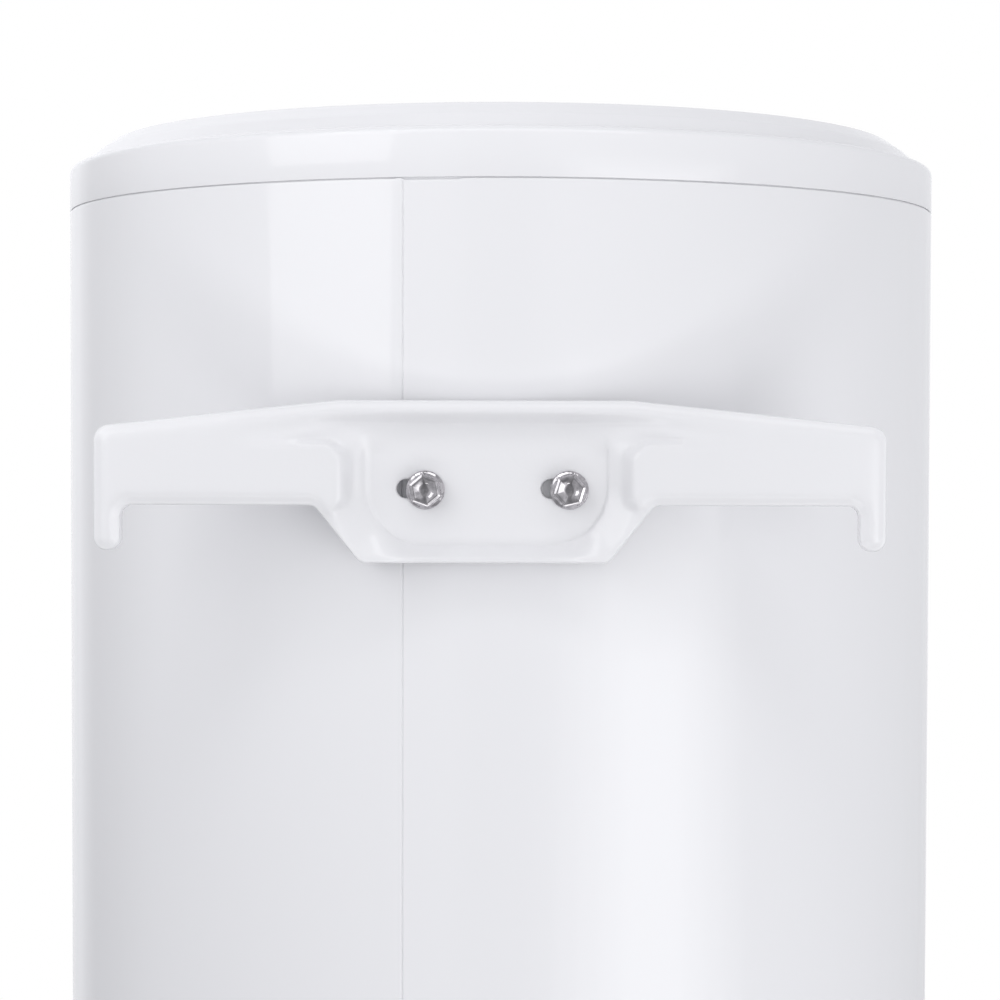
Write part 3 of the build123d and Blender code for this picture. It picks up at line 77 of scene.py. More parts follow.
# ---- finishes
class Finish:
    """A Principled material whose colour, roughness and relief come from noise in object space."""

    def __init__(self, name, **sockets):
        self.material = bpy.data.materials.new(name)
        self.material.use_nodes = True
        self.tree = self.material.node_tree
        self.shader = self.tree.nodes["Principled BSDF"]
        self.point = self.add("ShaderNodeTexCoord").outputs["Object"]
        self.relief = None
        for socket, value in sockets.items():
            self.shader.inputs[socket.replace("_", " ")].default_value = value

    def add(self, kind, **fields):
        node = self.tree.nodes.new(kind)
        for field, value in fields.items():
            setattr(node, field, value)
        return node

    def link(self, output, socket):
        self.tree.links.new(output, socket)

    def noise(self, size, detail=2.0, stretch=(1, 1, 1)):
        """Noise whose features are about size metres across, drawn out along an axis by stretch."""
        mapping = self.add("ShaderNodeMapping")
        mapping.inputs["Scale"].default_value = [1 / s for s in stretch]
        self.link(self.point, mapping.inputs["Vector"])
        texture = self.add("ShaderNodeTexNoise")
        texture.inputs["Scale"].default_value = 1 / size
        texture.inputs["Detail"].default_value = detail
        self.link(mapping.outputs["Vector"], texture.inputs["Vector"])
        return texture.outputs["Fac"]

    def cells(self, size):
        texture = self.add("ShaderNodeTexVoronoi")
        texture.inputs["Scale"].default_value = 1 / size
        self.link(self.point, texture.inputs["Vector"])
        return texture.outputs["Distance"]

    def spread(self, value, low, high):
        """Stretches a noise value to run from low to high."""
        remap = self.add("ShaderNodeMapRange")
        remap.inputs["From Min"].default_value = 0.3
        remap.inputs["From Max"].default_value = 0.7
        remap.inputs["To Min"].default_value = low
        remap.inputs["To Max"].default_value = high
        self.link(value, remap.inputs["Value"])
        return remap.outputs["Result"]

    def colour(self, base, value, contrast, tint=None):
        """Base colour that moves by contrast, or towards tint, with a noise value."""
        ramp = self.add("ShaderNodeValToRGB")
        other = tint or [min(1.0, c * (1 + contrast)) for c in base]
        ramp.color_ramp.elements[0].position = 0.3
        ramp.color_ramp.elements[1].position = 0.7
        ramp.color_ramp.elements[0].color = (*[c * (1 - contrast) for c in base], 1)
        ramp.color_ramp.elements[1].color = (*other, 1)
        self.link(value, ramp.inputs["Fac"])
        self.link(ramp.outputs["Color"], self.shader.inputs["Base Color"])
        return self

    def rough(self, value, low, high):
        self.link(self.spread(value, low, high), self.shader.inputs["Roughness"])
        return self

    def bump(self, value, height):
        """Adds relief of this height in metres."""
        node = self.add("ShaderNodeBump")
        node.inputs["Distance"].default_value = height
        node.inputs["Strength"].default_value = 1.0
        self.link(value, node.inputs["Height"])
        if self.relief is not None:
            self.link(self.relief, node.inputs["Normal"])
        self.relief = node.outputs["Normal"]
        self.link(self.relief, self.shader.inputs["Normal"])
        return self


def sheet_paint(name, base, peel):
    """Stoved white paint on sheet metal: clear gloss over a soft base, faint orange peel."""
    f = Finish(name, IOR=1.22, Coat_Weight=0.85, Coat_IOR=1.5, Coat_Roughness=0.07)
    f.colour(base, f.noise(260 * MM, 1), 0.004)
    f.rough(f.noise(120 * MM, 1), 0.34, 0.38)
    f.bump(f.noise(1.6 * MM, 1), peel * MM)
    f.bump(f.noise(30.0 * MM, 1), 10 * peel * MM)
    return f.material


def bracket_paint(name, base):
    """Satin powder coat with a visible grain."""
    f = Finish(name, IOR=1.3, Coat_Weight=0.8, Coat_IOR=1.5, Coat_Roughness=0.15)
    f.colour(base, f.noise(60 * MM, 1), 0.006)
    f.rough(f.noise(8 * MM, 3), 0.32, 0.44)
    f.bump(f.noise(0.9 * MM, 3), 0.022 * MM)
    f.bump(f.noise(3.0 * MM, 2), 0.04 * MM)
    return f.material


def moulded(name, base, low, high, grain=0.02):
    """Injection-moulded plastic: fine spark-eroded grain and a trace of flow."""
    f = Finish(name, IOR=1.49)
    f.colour(base, f.noise(30 * MM, 4, (1, 1, 2.5)), 0.02)
    f.rough(f.noise(4 * MM, 4), low, high)
    f.bump(f.noise(0.5 * MM, 2), grain * MM)
    f.bump(f.noise(20 * MM, 1), grain * MM)
    return f.material


def chrome(name, base):
    """Bright plating over a forged blank: dark stains, dull spots, fine scratches."""
    f = Finish(name, Metallic=1.0, Specular_Tint=(1, 0.98, 0.99, 1))
    f.colour([0.46, 0.45, 0.47], f.noise(2.2 * MM, 3), 0.22, [0.62, 0.60, 0.62])
    f.rough(f.noise(1.6 * MM, 3), 0.05, 0.13)
    f.bump(f.noise(0.35 * MM, 2, (1, 1, 6)), 0.0015 * MM)
    f.bump(f.noise(3.0 * MM, 1), 0.02 * MM)
    return f.material


def plated(name, base, low=0.24, high=0.42, tint=None):
    """Zinc, brass or copper with a mottled bloom and drawing marks."""
    f = Finish(name, Metallic=1.0)
    f.colour(base, f.noise(5 * MM, 5), 0.12, tint)
    f.rough(f.noise(2 * MM, 4), low, high)
    f.bump(f.noise(0.6 * MM, 3, (1, 1, 9)), 0.006 * MM)
    return f.material


def enamel(name, base):
    """Glass enamel fired on steel: deep gloss, faint flow waves, specks."""
    f = Finish(name, IOR=1.55, Coat_Weight=0.6, Coat_Roughness=0.05)
    f.colour(base, f.cells(2.4 * MM), 0.25)
    f.rough(f.noise(12 * MM, 3), 0.12, 0.28)
    f.bump(f.noise(9 * MM, 3), 0.12 * MM)
    return f.material


def foam(name, base):
    """Poured polyurethane: closed cells, a browner skin in patches."""
    f = Finish(name, Subsurface_Weight=0.05)
    f.colour(base, f.noise(22 * MM, 6), 0.10, [base[0] * 0.93, base[1] * 0.84, base[2] * 0.66])
    f.rough(f.noise(3 * MM, 2), 0.80, 0.98)
    f.bump(f.cells(1.4 * MM), 0.5 * MM)
    f.bump(f.noise(15 * MM, 4), 1.0 * MM)
    return f.material


def rubber(name, base, low=0.45, high=0.65):
    """Rubber or cable sheath: soft gloss, dusty variation, extrusion lines."""
    f = Finish(name, IOR=1.5, Sheen_Weight=0.1)
    f.colour(base, f.noise(7 * MM, 4), 0.14)
    f.rough(f.noise(3 * MM, 4), low, high)
    f.bump(f.noise(0.4 * MM, 3, (8, 8, 1)), 0.02 * MM)
    return f.material


def ceramic(name, base):
    f = Finish(name, IOR=1.6)
    f.colour(base, f.noise(2 * MM, 5), 0.06)
    f.rough(f.noise(1 * MM, 3), 0.38, 0.6)
    f.bump(f.noise(0.7 * MM, 3), 0.05 * MM)
    return f.material


def cast(name, base):
    """Magnesium as cast: dull, pitted, streaked."""
    f = Finish(name, Metallic=0.9)
    f.colour(base, f.noise(4 * MM, 6), 0.18)
    f.rough(f.noise(2 * MM, 4), 0.5, 0.75)
    f.bump(f.cells(1.8 * MM), 0.12 * MM)
    return f.material


def lens(name, base):
    """Clear cover: nearly all see-through, with a hint of dust in the gloss."""
    f = Finish(name, IOR=1.6, Alpha=0.16)
    f.colour([0.95, 0.96, 0.97], f.noise(9 * MM, 3), 0.02)
    f.rough(f.noise(5 * MM, 4), 0.01, 0.06)
    f.bump(f.noise(14 * MM, 2), 0.01 * MM)
    return f.material


def lamp(name, base):
    """Tinted lamp lens with light soaking through it."""
    f = Finish(name, IOR=1.49, Subsurface_Weight=0.35, Coat_Weight=0.5, Coat_Roughness=0.04)
    f.shader.inputs["Subsurface Radius"].default_value = (2 * MM, 2 * MM, 2 * MM)
    f.colour(base, f.noise(3 * MM, 3), 0.10)
    f.rough(f.noise(2 * MM, 3), 0.08, 0.2)
    f.bump(f.cells(1.1 * MM), 0.06 * MM)
    return f.material


def linear(colour):
    """The record's colours are as seen on screen; shaders want them linear."""
    return [(c / 12.92 if c < 0.04045 else ((c + 0.055) / 1.055) ** 2.4) for c in colour[:3]]


def earth_sheath(name, base):
    """Green wire with the yellow stripe of an earth conductor."""
    f = Finish(name, IOR=1.5)
    wave = f.add("ShaderNodeTexWave", wave_type="RINGS", rings_direction="X")
    wave.inputs["Scale"].default_value = 60
    wave.inputs["Distortion"].default_value = 1.5
    f.link(f.point, wave.inputs["Vector"])
    f.colour(base, wave.outputs["Fac"], 0.05, linear([0.90, 0.80, 0.10]))
    f.rough(f.noise(3 * MM, 4), 0.4, 0.6)
    f.bump(f.noise(0.4 * MM, 3), 0.02 * MM)
    return f.material


def brushed_bezel(name, base):
    """Silver lacquer on plastic, a little uneven in tone and gloss."""
    f = Finish(name, Metallic=0.8, Coat_Weight=0.3, Coat_Roughness=0.1)
    f.colour([0.60, 0.61, 0.63], f.noise(9 * MM, 3), 0.05)
    f.rough(f.noise(4 * MM, 3), 0.20, 0.30)
    f.bump(f.noise(0.8 * MM, 2), 0.002 * MM)
    return f.material


colours = {m["slot"]: linear(m["base_color"]) for m in frame["record"]["materials"]}
slot_of = {s["node"]: s["material_slot"] for s in frame["record"]["subparts"]}

WHITE_PAINT = [0.835, 0.835, 0.855]
MAKERS = {
    "casing_white": lambda n, c: sheet_paint(n, WHITE_PAINT, 0.004),
    "cap_white": lambda n, c: sheet_paint(n, [0.85, 0.85, 0.87], 0.003),
    "bracket_white": lambda n, c: bracket_paint(n, [0.82, 0.82, 0.84]),
    "bolt_chrome": chrome,
    "zinc_steel": lambda n, c: plated(n, [0.55, 0.56, 0.58], 0.22, 0.38),
    "enamelled_steel": enamel,
    "foam_cream": foam,
    "gasket_rubber": rubber,
    "copper": plated,
    "bush_ceramic": ceramic,
    "anode_grey": cast,
    "pocket_brass": plated,
    "lens_clear": lens,
    "lamp_green": lamp,
    "lamp_amber": lamp,
    "wire_brown": rubber,
    "wire_blue": rubber,
    "wire_green": earth_sheath,
    "cover_white": lambda n, c: moulded(n, [0.82, 0.83, 0.85], 0.30, 0.44),
    "ring_blue": lambda n, c: moulded(n, c, 0.22, 0.34),
    "ring_red": lambda n, c: moulded(n, c, 0.22, 0.34),
    "rocker_red": lambda n, c: moulded(n, c, 0.16, 0.28, 0.008),
    "switch_black": lambda n, c: moulded(n, c, 0.28, 0.42),
    "bezel_silver": brushed_bezel,
}


finishes = {}
for slot_name, base in colours.items():
    make = MAKERS.get(slot_name) or (lambda n, c: moulded(n, c, 0.34, 0.52))
    finishes[slot_name] = make(slot_name, base)

for name, node in nodes.items():
    node.data.materials.clear()
    node.data.materials.append(finishes[slot_of[name]])


# ---- mesh helpers
def add_object(name, data):
    obj = bpy.data.objects.new(name, data)
    bpy.context.scene.collection.objects.link(obj)
    return obj


def closed_mesh(name, verts, faces, weld=True):
    """Mesh with its normals outwards, and its doubled points welded."""
    data = bpy.data.meshes.new(name)
    data.from_pydata([tuple(v) for v in verts], [], faces)
    work = bmesh.new()
    work.from_mesh(data)
    if weld:
        bmesh.ops.remove_doubles(work, verts=work.verts, dist=1e-7)
    bmesh.ops.recalc_face_normals(work, faces=work.faces)
    work.to_mesh(data)
    work.free()
    return data


def piece(name, verts, faces, slot_name, body="heater", stands_for=(), sharp=35.0):
    """A mesh object that rides on a body and takes its finish from a slot."""
    data = closed_mesh(name, verts, faces)
    data.shade_smooth()
    data.set_sharp_from_angle(angle=radians(sharp))
    data.materials.append(finishes[slot_name])
    obj = add_object(name, data)
    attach(obj, body)
    if stands_for:
        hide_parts(*stands_for)
    return obj


def placed(origin, axis, turn=0.0):
    """Matrix that puts local Z along axis at origin, after a turn about it."""
    aim = Vector(axis).to_track_quat("Z", "Y").to_matrix().to_4x4()
    return Matrix.Translation(origin) @ aim @ Matrix.Rotation(turn, 4, "Z")


def spin(rings, count, place):
    """Skin over rings (radius, height) about local Z. A radius may be a function of the angle.
    A ring of radius 0 is a pole; otherwise the last ring joins the first."""
    verts, faces, rows = [], [], []
    for radius, height in rings:
        if not callable(radius) and radius < 1e-9:
            rows.append([len(verts)] * count)
            verts.append(place @ Vector((0, 0, height)))
            continue
        rows.append(list(range(len(verts), len(verts) + count)))
        for i in range(count):
            angle = 2 * pi * i / count
            r = radius(angle) if callable(radius) else radius
            h = height(angle) if callable(height) else height
            verts.append(place @ Vector((r * cos(angle), r * sin(angle), h)))
    pairs = list(zip(rows, rows[1:]))
    if rows[0][0] != rows[0][1] and rows[-1][0] != rows[-1][1]:
        pairs.append((rows[-1], rows[0]))
    for low, high in pairs:
        for i in range(count):
            j = (i + 1) % count
            corners = (low[i], low[j], high[j], high[i])
            face = tuple(dict.fromkeys(corners))
            if len(face) > 2:
                faces.append(face)
    return verts, faces


def rounded(corners, closed=True, steps=6, spacing=None):
    """Outline through corners (x, y, radius), each rounded by an arc. Straight runs are
    divided so that no step is longer than spacing."""
    points, count = [], len(corners)
    for i, (x, y, r) in enumerate(corners):
        here = Vector((x, y))
        if r <= 0 or (not closed and i in (0, count - 1)):
            points.append(here)
            continue
        before = (Vector(corners[i - 1][:2]) - here).normalized()
        after = (Vector(corners[(i + 1) % count][:2]) - here).normalized()
        half = before.angle(after) / 2
        middle = here + (before + after).normalized() * (r / sin(half))
        start = here + before * (r / tan(half)) - middle
        sweep = (pi - 2 * half) * (1 if before.cross(after) < 0 else -1)
        for k in range(steps + 1):
            points.append(middle + Matrix.Rotation(sweep * k / steps, 2) @ start)
    if spacing is None:
        return points
    filled = []
    for a, b in zip(points, points[1:] + (points[:1] if closed else [])):
        parts = max(1, round((b - a).length / spacing))
        filled += [a.lerp(b, k / parts) for k in range(parts)]
    return filled if closed else filled + points[-1:]


def smooth(value, low, high):
    """0 below low, 1 above high, an S-curve between. Works on arrays."""
    t = np.clip((np.asarray(value, float) - low) / (high - low), 0, 1)
    return t * t * (3 - 2 * t)


# ---- wall bracket
# One pressed sheet. Its outline and levels are given for one half, u to the side from the
# bracket's middle and z up, in millimetres, and mirrored.
BRACKET_TOP = bracket_hi.z / MM
TAB_BOTTOM = bracket_lo.z / MM
ARM_END = (bracket_hi.x - BRACKET_X) / MM
MID_DEPTH = -bracket_lo.y / MM       # depth of the rim behind the wall plane, in the middle
ARM_DEPTH = 8.5
RING_LEVEL = 6.0
PANEL_LEVEL = 12.0
PANEL_HALF = 52.7
PANEL_BOTTOM = -18.1
PANEL_CORNER = 26.0
RING_HALF = 64.5
SHELF_Z = 26.5                       # upper edge of the arms' raised flats
RAMP = (30.0, 114.0)                 # the sheet climbs from panel to arms over this stretch
STEP = 1.4                           # small step round the panel
SILL = 3.0                           # depth where the dish's wall meets the arm flats
PANEL_SHIFT = 1.2                    # panel and arm flats, towards +u
SHELF_R = 7.5
SHELF_FOOT = -2.6                    # its lower edge, by the middle
BAND = 4.8                           # the edge is folded back over this width
BAND_SLOPE = 0.55
ROLL_R = 1.1                         # and ends in a roll of this radius
RIM_GRID = 4.4                       # the mesh follows the outline this far in
SLOT_X = 31.6
SLOT_Z = 7.0
SLOT_HALF = 5.0                      # half length of a slot's straight part
SLOT_R = 4.2
SHEET = PLATE / MM

BRACKET_HALF = [                     # (u, z, corner radius), clockwise from the top middle
    (63.8, BRACKET_TOP, 60.0),
    (ARM_END, 34.1, 7.0),
    (ARM_END, -19.7, 5.6),
    (ARM_END - 11.85, -19.7, 5.6),
    (ARM_END - 11.85, 0.0, 5.0),
    (74.0, 0.0, 5.0),
    (54.0, TAB_BOTTOM, 5.0),
]


def shifted(u, amount):
    """The middle of the pressing sits a little to one side of the arms' middle."""
    return u + amount if abs(u) < 80 else u


MIDDLE_SHIFT = 2.4
BRACKET_OUTLINE = [(shifted(u, MIDDLE_SHIFT), z, r) for u, z, r in BRACKET_HALF]
BRACKET_OUTLINE += [(shifted(-u, MIDDLE_SHIFT), z, r) for u, z, r in reversed(BRACKET_HALF)]


def inset(corners, amount):
    """The same outline drawn smaller by amount: corners slide in, arcs stay concentric."""
    moved, count = [], len(corners)
    for i, (x, y, r) in enumerate(corners):
        here = Vector((x, y))
        arrive = (here - Vector(corners[i - 1][:2])).normalized()
        leave = (Vector(corners[(i + 1) % count][:2]) - here).normalized()
        in_a = Vector((arrive.y, -arrive.x))        # clockwise outline: inside is to the right
        in_b = Vector((leave.y, -leave.x))
        shift = (in_a + in_b) / (1 + in_a.dot(in_b)) * amount
        convex = arrive.cross(leave) < 0
        moved.append((x + shift.x, y + shift.y, max(0.05, r - amount if convex else r + amount)))
    return moved


def bracket_loop(amount):
    """Outline points at a given inset, with the same number of points for every inset."""
    marks = rounded(BRACKET_OUTLINE, steps=8)
    moved = rounded(inset(BRACKET_OUTLINE, amount), steps=8)
    loop = []
    for k, (a, b) in enumerate(zip(marks, marks[1:] + marks[:1])):
        parts = max(1, round((b - a).length / 1.8))
        c, d = moved[k], moved[(k + 1) % len(moved)]
        loop += [c.lerp(d, i / parts) for i in range(parts)]
    return loop


def slot_loop(side, grow):
    points = []
    for end in (1, -1):
        for k in range(13):
            angle = end * (pi / 2 - pi * k / 12) if end > 0 else pi * 1.5 - pi * k / 12
            x = side * SLOT_X + end * SLOT_HALF + (SLOT_R + grow) * cos(angle)
            points.append(Vector((x, SLOT_Z + (SLOT_R + grow) * sin(angle))))
    return points


def box_distance(u, z, half_u, low, high, corner):
    """Signed distance to a rounded box about u = 0, negative inside."""
    du = np.abs(u) - (half_u - corner)
    dz = np.abs(z - (low + high) / 2) - ((high - low) / 2 - corner)
    outside = np.hypot(np.maximum(du, 0), np.maximum(dz, 0))
    return outside + np.minimum(np.maximum(du, dz), 0) - corner


def bracket_depth(u, z, edge, slot_edge):
    """How far the wall side of the sheet lies behind the wall plane at (u, z)."""
    u = u - PANEL_SHIFT
    side = np.abs(u)
    # Dish in the middle: a flat panel, a small step round it (softer on +u), a rising wall.
    panel = box_distance(u, z, PANEL_HALF, PANEL_BOTTOM, 60.0, PANEL_CORNER)
    soft = 0.55 + 2.0 * smooth(u, -10, 30) * smooth(z, -16, 0)
    steep = 1 + 0.9 * smooth(-z, 6, 18) * (1 - smooth(side, 34, 56))
    lower = PANEL_LEVEL - STEP * smooth(panel / soft, -1, 1)
    lower = lower - (PANEL_LEVEL - STEP - SILL) * np.clip((panel * steep - 0.6) / 12.0, 0, 1.3)
    # Above it the sheet climbs gently from the panel to the arms.
    ramp = PANEL_LEVEL * (1 - smooth(side, *RAMP))
    upper = smooth(z + 0.10 * (side - PANEL_HALF), 20.0, 33.0)
    level = lower * (1 - upper) + ramp * upper
    # Arm flats: a box from RING_HALF outwards, rounded at its inner end.
    du = (RING_HALF + SHELF_R) - side
    foot = SHELF_FOOT - 45 * smooth(side, 84, 112)
    dz = np.abs(z - (SHELF_Z + foot) / 2) - ((SHELF_Z - foot) / 2 - SHELF_R)
    shelf = np.hypot(np.maximum(du, 0), np.maximum(dz, 0)) - SHELF_R
    shelf = shelf + np.minimum(np.maximum(du, dz), 0)
    reach = 2.6 + 3.4 * smooth(du - dz, -2, 8)
    level = level * smooth(shelf, -0.6, reach)
    # A band along the top edge stays up near the ring's level.
    band = RING_LEVEL * 0.75 * (1 - smooth(side, 50, 112))
    top = BRACKET_TOP - z - np.maximum(side - 63.8, 0) * 0.107
    climb = (np.minimum(band, level) - level) * (1 - smooth(top, 4.0, 11.0))
    level = np.where(z > 0, level + climb, level)
    # The edge is folded back as a flat band that ends in a tight roll.
    middle = 1 - smooth(side, 50, 105)
    width = BAND + 1.4 * middle * smooth(z, 20, 34) - 2.2 * middle * smooth(-z, 4, 14)
    fold = width - edge
    level = level + BAND_SLOPE * (np.sqrt(fold**2 + 0.7**2) + fold) / 2
    roll = np.clip(1 - edge / ROLL_R, 0, 1)
    level = level + ROLL_R * (1 - np.sqrt(1 - roll**2 * 0.985))
    level = level - 0.30 * np.exp(-(((edge - 0.62) / 0.34) ** 2))
    lip = np.clip(1 - slot_edge / 1.0, 0, 1)
    return level + 1.0 * (1 - np.sqrt(1 - lip**2 * 0.98))


def distance_to(points, loop):
    """Distance of each point to a closed loop."""
    a = np.array([tuple(p) for p in loop])
    b = np.roll(a, -1, axis=0)
    best = np.full(len(points), 1e9)
    for start, end in zip(a, b):
        run = end - start
        t = np.clip(((points - start) @ run) / (run @ run), 0, 1)
        best = np.minimum(best, np.hypot(*(points - start - t[:, None] * run).T))
    return best


def panel_line(out):
    """Points along the panel's edge, this far outside it."""
    side, foot, corner = PANEL_HALF + out, PANEL_BOTTOM - out, PANEL_CORNER + out
    corners = [(side, 24, 0), (side, foot, corner), (-side, foot, corner), (-side, 24, 0)]
    line = rounded(corners, closed=False, steps=36, spacing=1.1)
    return [p + Vector((PANEL_SHIFT, 0)) for p in line]


def make_bracket():
    insets = (0, 0.06, 0.2, 0.4, 0.65, 0.95, 1.3, 1.8, SHEET, 3.4, RIM_GRID)
    loops = [bracket_loop(d) for d in insets]
    skirt_inside = loops[insets.index(SHEET)]
    grows = (0, 0.15, 0.5, 1.0)
    slots = [slot_loop(side, grow) for side in (-1, 1) for grow in grows]
    slot_edges = (slots[0], slots[len(grows)])
    fixed, edges = [], []
    for loop in loops + slots:
        start = len(fixed)
        fixed += loop
        edges += [(start + i, start + (i + 1) % len(loop)) for i in range(len(loop))]
    fine, coarse = 1.25, 2.2
    grid = [(u, z) for u in np.arange(-82, 82.1, fine) for z in np.arange(-26, 47, fine)]
    for u in np.arange(84, 172, coarse):
        grid += [(s * u, z) for s in (-1, 1) for z in np.arange(-20, 44, coarse)]
    grid = np.array(grid)
    jitter = np.array([noise.noise_vector(Vector((u, z, 7)))[:2] for u, z in grid])
    grid = grid + 0.25 * jitter
    outline = np.array([tuple(p) for p in loops[0]])
    keep = inside(grid, outline) & (distance_to(grid, loops[0]) > RIM_GRID + 0.7)
    for side in (-1, 1):
        keep &= distance_to(grid, slot_loop(side, 0)) > 2.2
        keep &= ~inside(grid, np.array([tuple(p) for p in slot_loop(side, 0)]))
    near = box_distance(grid[:, 0] - PANEL_SHIFT, grid[:, 1],
                        PANEL_HALF, PANEL_BOTTOM, 60.0, PANEL_CORNER)
    keep &= (np.abs(near) > 1.1) | (grid[:, 1] > 24.5)
    points = fixed + [p for out in (-0.6, -0.2, 0.2, 0.6) for p in panel_line(out)]
    points += [Vector(p) for p in grid[keep]]
    flat, _, tris, *_ = delaunay_2d_cdt(points, edges, [], 0, 1e-6)
    flat = np.array([tuple(p) for p in flat])
    middle = flat[np.array(tris)].mean(axis=1)
    good = inside(middle, outline)
    for side in (-1, 1):
        good &= ~inside(middle, np.array([tuple(p) for p in slot_loop(side, 0)]))
    behind = inside(middle, np.array([tuple(p) for p in skirt_inside]))[good]
    tris = [t for t, g in zip(tris, good) if g]
    edge = distance_to(flat, loops[0])
    slot_edge = np.minimum(*[distance_to(flat, loop) for loop in slot_edges])
    depth = bracket_depth(flat[:, 0], flat[:, 1], edge, slot_edge)
    # The press leaves a coarse grain where the sheet was stretched.
    stretched = smooth(depth, 2.0, 6.0) * smooth(flat[:, 1], 12, 24) * smooth(edge, 2, 6)
    grain = np.array([noise.noise(Vector((u * 0.55, z * 0.55, 3))) for u, z in flat])
    depth = depth + 0.085 * grain * stretched

    verts = [(BRACKET_X + u * MM, -d * MM, z * MM) for (u, z), d in zip(flat, depth)]
    faces = [tuple(t) for t in tris]
    # The tank side: the same sheet, one thickness further back, inside the rolled rim.
    back = {}
    for t, doubled in zip(tris, behind):
        if doubled:
            for i in t:
                if i not in back:
                    back[i] = len(verts)
                    u, z = flat[i]
                    verts.append((BRACKET_X + u * MM, -(depth[i] + SHEET) * MM, z * MM))
            faces.append(tuple(back[i] for i in reversed(t)))

    lookup = {(round(p[0], 4), round(p[1], 4)): i for i, p in enumerate(flat)}

    def index(p):
        return lookup[(round(p.x, 4), round(p.y, 4))]

    # The rim's wall: down the outside, round its edge, and up the inside.
    outer, inner = [index(p) for p in loops[0]], [back[index(p)] for p in skirt_inside]
    rows = [outer]
    round_r = 0.7
    for amount, lift in ((0.0, round_r), (0.2, 0.2), (round_r, 0.0), (SHEET - round_r, 0.0),
                         (SHEET - 0.2, 0.2), (SHEET, round_r)):
        row = []
        for p, q in zip(bracket_loop(amount), loops[0]):
            rim = ARM_DEPTH + (MID_DEPTH - ARM_DEPTH) * (1 - float(smooth(abs(q.x), 66, 78)))
            row.append(len(verts))
            verts.append((BRACKET_X + p.x * MM, -(rim - lift) * MM, p.y * MM))
        rows.append(row)
    rows.append(inner)
    for low, high in zip(rows, rows[1:]):
        for i in range(len(low)):
            j = (i + 1) % len(low)
            faces.append((low[i], low[j], high[j], high[i]))
    for loop in slot_edges:
        front = [index(p) for p in loop]
        for i in range(len(front)):
            j = (i + 1) % len(front)
            faces.append((front[i], front[j], back[front[j]], back[front[i]]))
    return piece("pressed_bracket", verts, faces, "bracket_white", "heater", ["wall_bracket"], 50)


def inside(points, loop):
    """Which points lie inside a closed loop."""
    hits = np.zeros(len(points), bool)
    x, y = points[:, 0], points[:, 1]
    for (ax, ay), (bx, by) in zip(loop, np.roll(loop, -1, axis=0)):
        if ay == by:
            continue
        crosses = ((ay > y) != (by > y)) & (x < (bx - ax) * (y - ay) / (by - ay) + ax)
        hits ^= crosses
    return hits


make_bracket()


# ---- bolts
FLANGE_R = (bolts_hi.z - bolts_lo.z) / 2
BOLT_X = bolts_hi.x - FLANGE_R
BOLT_Z = (bolts_lo.z + bolts_hi.z) / 2
HEAD_TOP = bolts_hi.y
BOLT_END = bolts_lo.y
SEAT = -PANEL_LEVEL * MM


def hexagon(across_flats, corner=0.0):
    """Radius of a hexagon at an angle, with its corners cut to at most the given radius."""

    def radius(angle):
        turned = (angle + pi / 6) % (pi / 3) - pi / 6
        r = across_flats / 2 / cos(turned)
        return min(r, corner) if corner else r

    return radius


def make_bolt(name, x, turn):
    """Hex flange bolt: washer face, hexagon with wide facets round a hex-edged dimple."""
    side = hexagon(12.7 * MM, 7.2 * MM)
    top = HEAD_TOP - SEAT

    def hex_row(across, drop, most=0.0):
        return hexagon(across * MM, most), top - drop * MM

    shank = BOLT_END - SEAT
    rings = [
        (0, top - 0.72 * MM),
        (0.8 * MM, top - 0.86 * MM),
        (2.5 * MM, top - 0.84 * MM),
        (3.1 * MM, top - 0.62 * MM),
        hex_row(8.2, 0.16),
        hex_row(9.5, 0.05),
        hex_row(10.1, 0.0),
        hex_row(10.7, 0.05),
        hex_row(12.4, 0.46, 7.0 * MM),
        (side, top - 0.80 * MM),
        (side, 3.0 * MM),
        (lambda a: max(side(a), 6.9 * MM), 2.5 * MM),
        (7.4 * MM, 2.1 * MM),
        (8.0 * MM, 1.75 * MM),
        (8.35 * MM, 1.45 * MM),
        (FLANGE_R, 1.05 * MM),
        (FLANGE_R, 0.25 * MM),
        (FLANGE_R - 0.25 * MM, 0.02 * MM),
        (4.0 * MM, 0.02 * MM),
    ]
    # Thread: crests and roots down the shank.
    pitch = 1.25 * MM
    turns = int((-shank - 3 * MM) / pitch)
    for k in range(turns):
        z = -1.5 * MM - k * pitch
        rings += [(4.0 * MM, z), (3.4 * MM, z - 0.5 * pitch)]
    rings += [(3.4 * MM, shank), (0, shank)]
    place = placed((x, SEAT, BOLT_Z), (0, 1, 0), turn)
    verts, faces = spin(rings, 144, place)
    return piece(name, verts, faces, "bolt_chrome", "heater", ["bracket_bolts"], 24)


make_bolt("bracket_bolt_right", BOLT_X, radians(10))
make_bolt("bracket_bolt_left", -BOLT_X, radians(43))


# ---- casing
SEAM = radians(90 - 10.7)
SEAM_HALF = 0.27 * MM
SHEET_T = 0.8 * MM


def seam_profile(arc):
    """Radius change near the seam, by distance along the wall from it (positive to +X)."""
    groove = -0.55 * MM * (1 - float(smooth(abs(arc), SEAM_HALF * 0.5, SEAM_HALF * 2.1)))
    lap = 0.16 * MM * float(1 - smooth(abs(arc + 5 * MM), 2 * MM, 9 * MM))
    return groove + lap


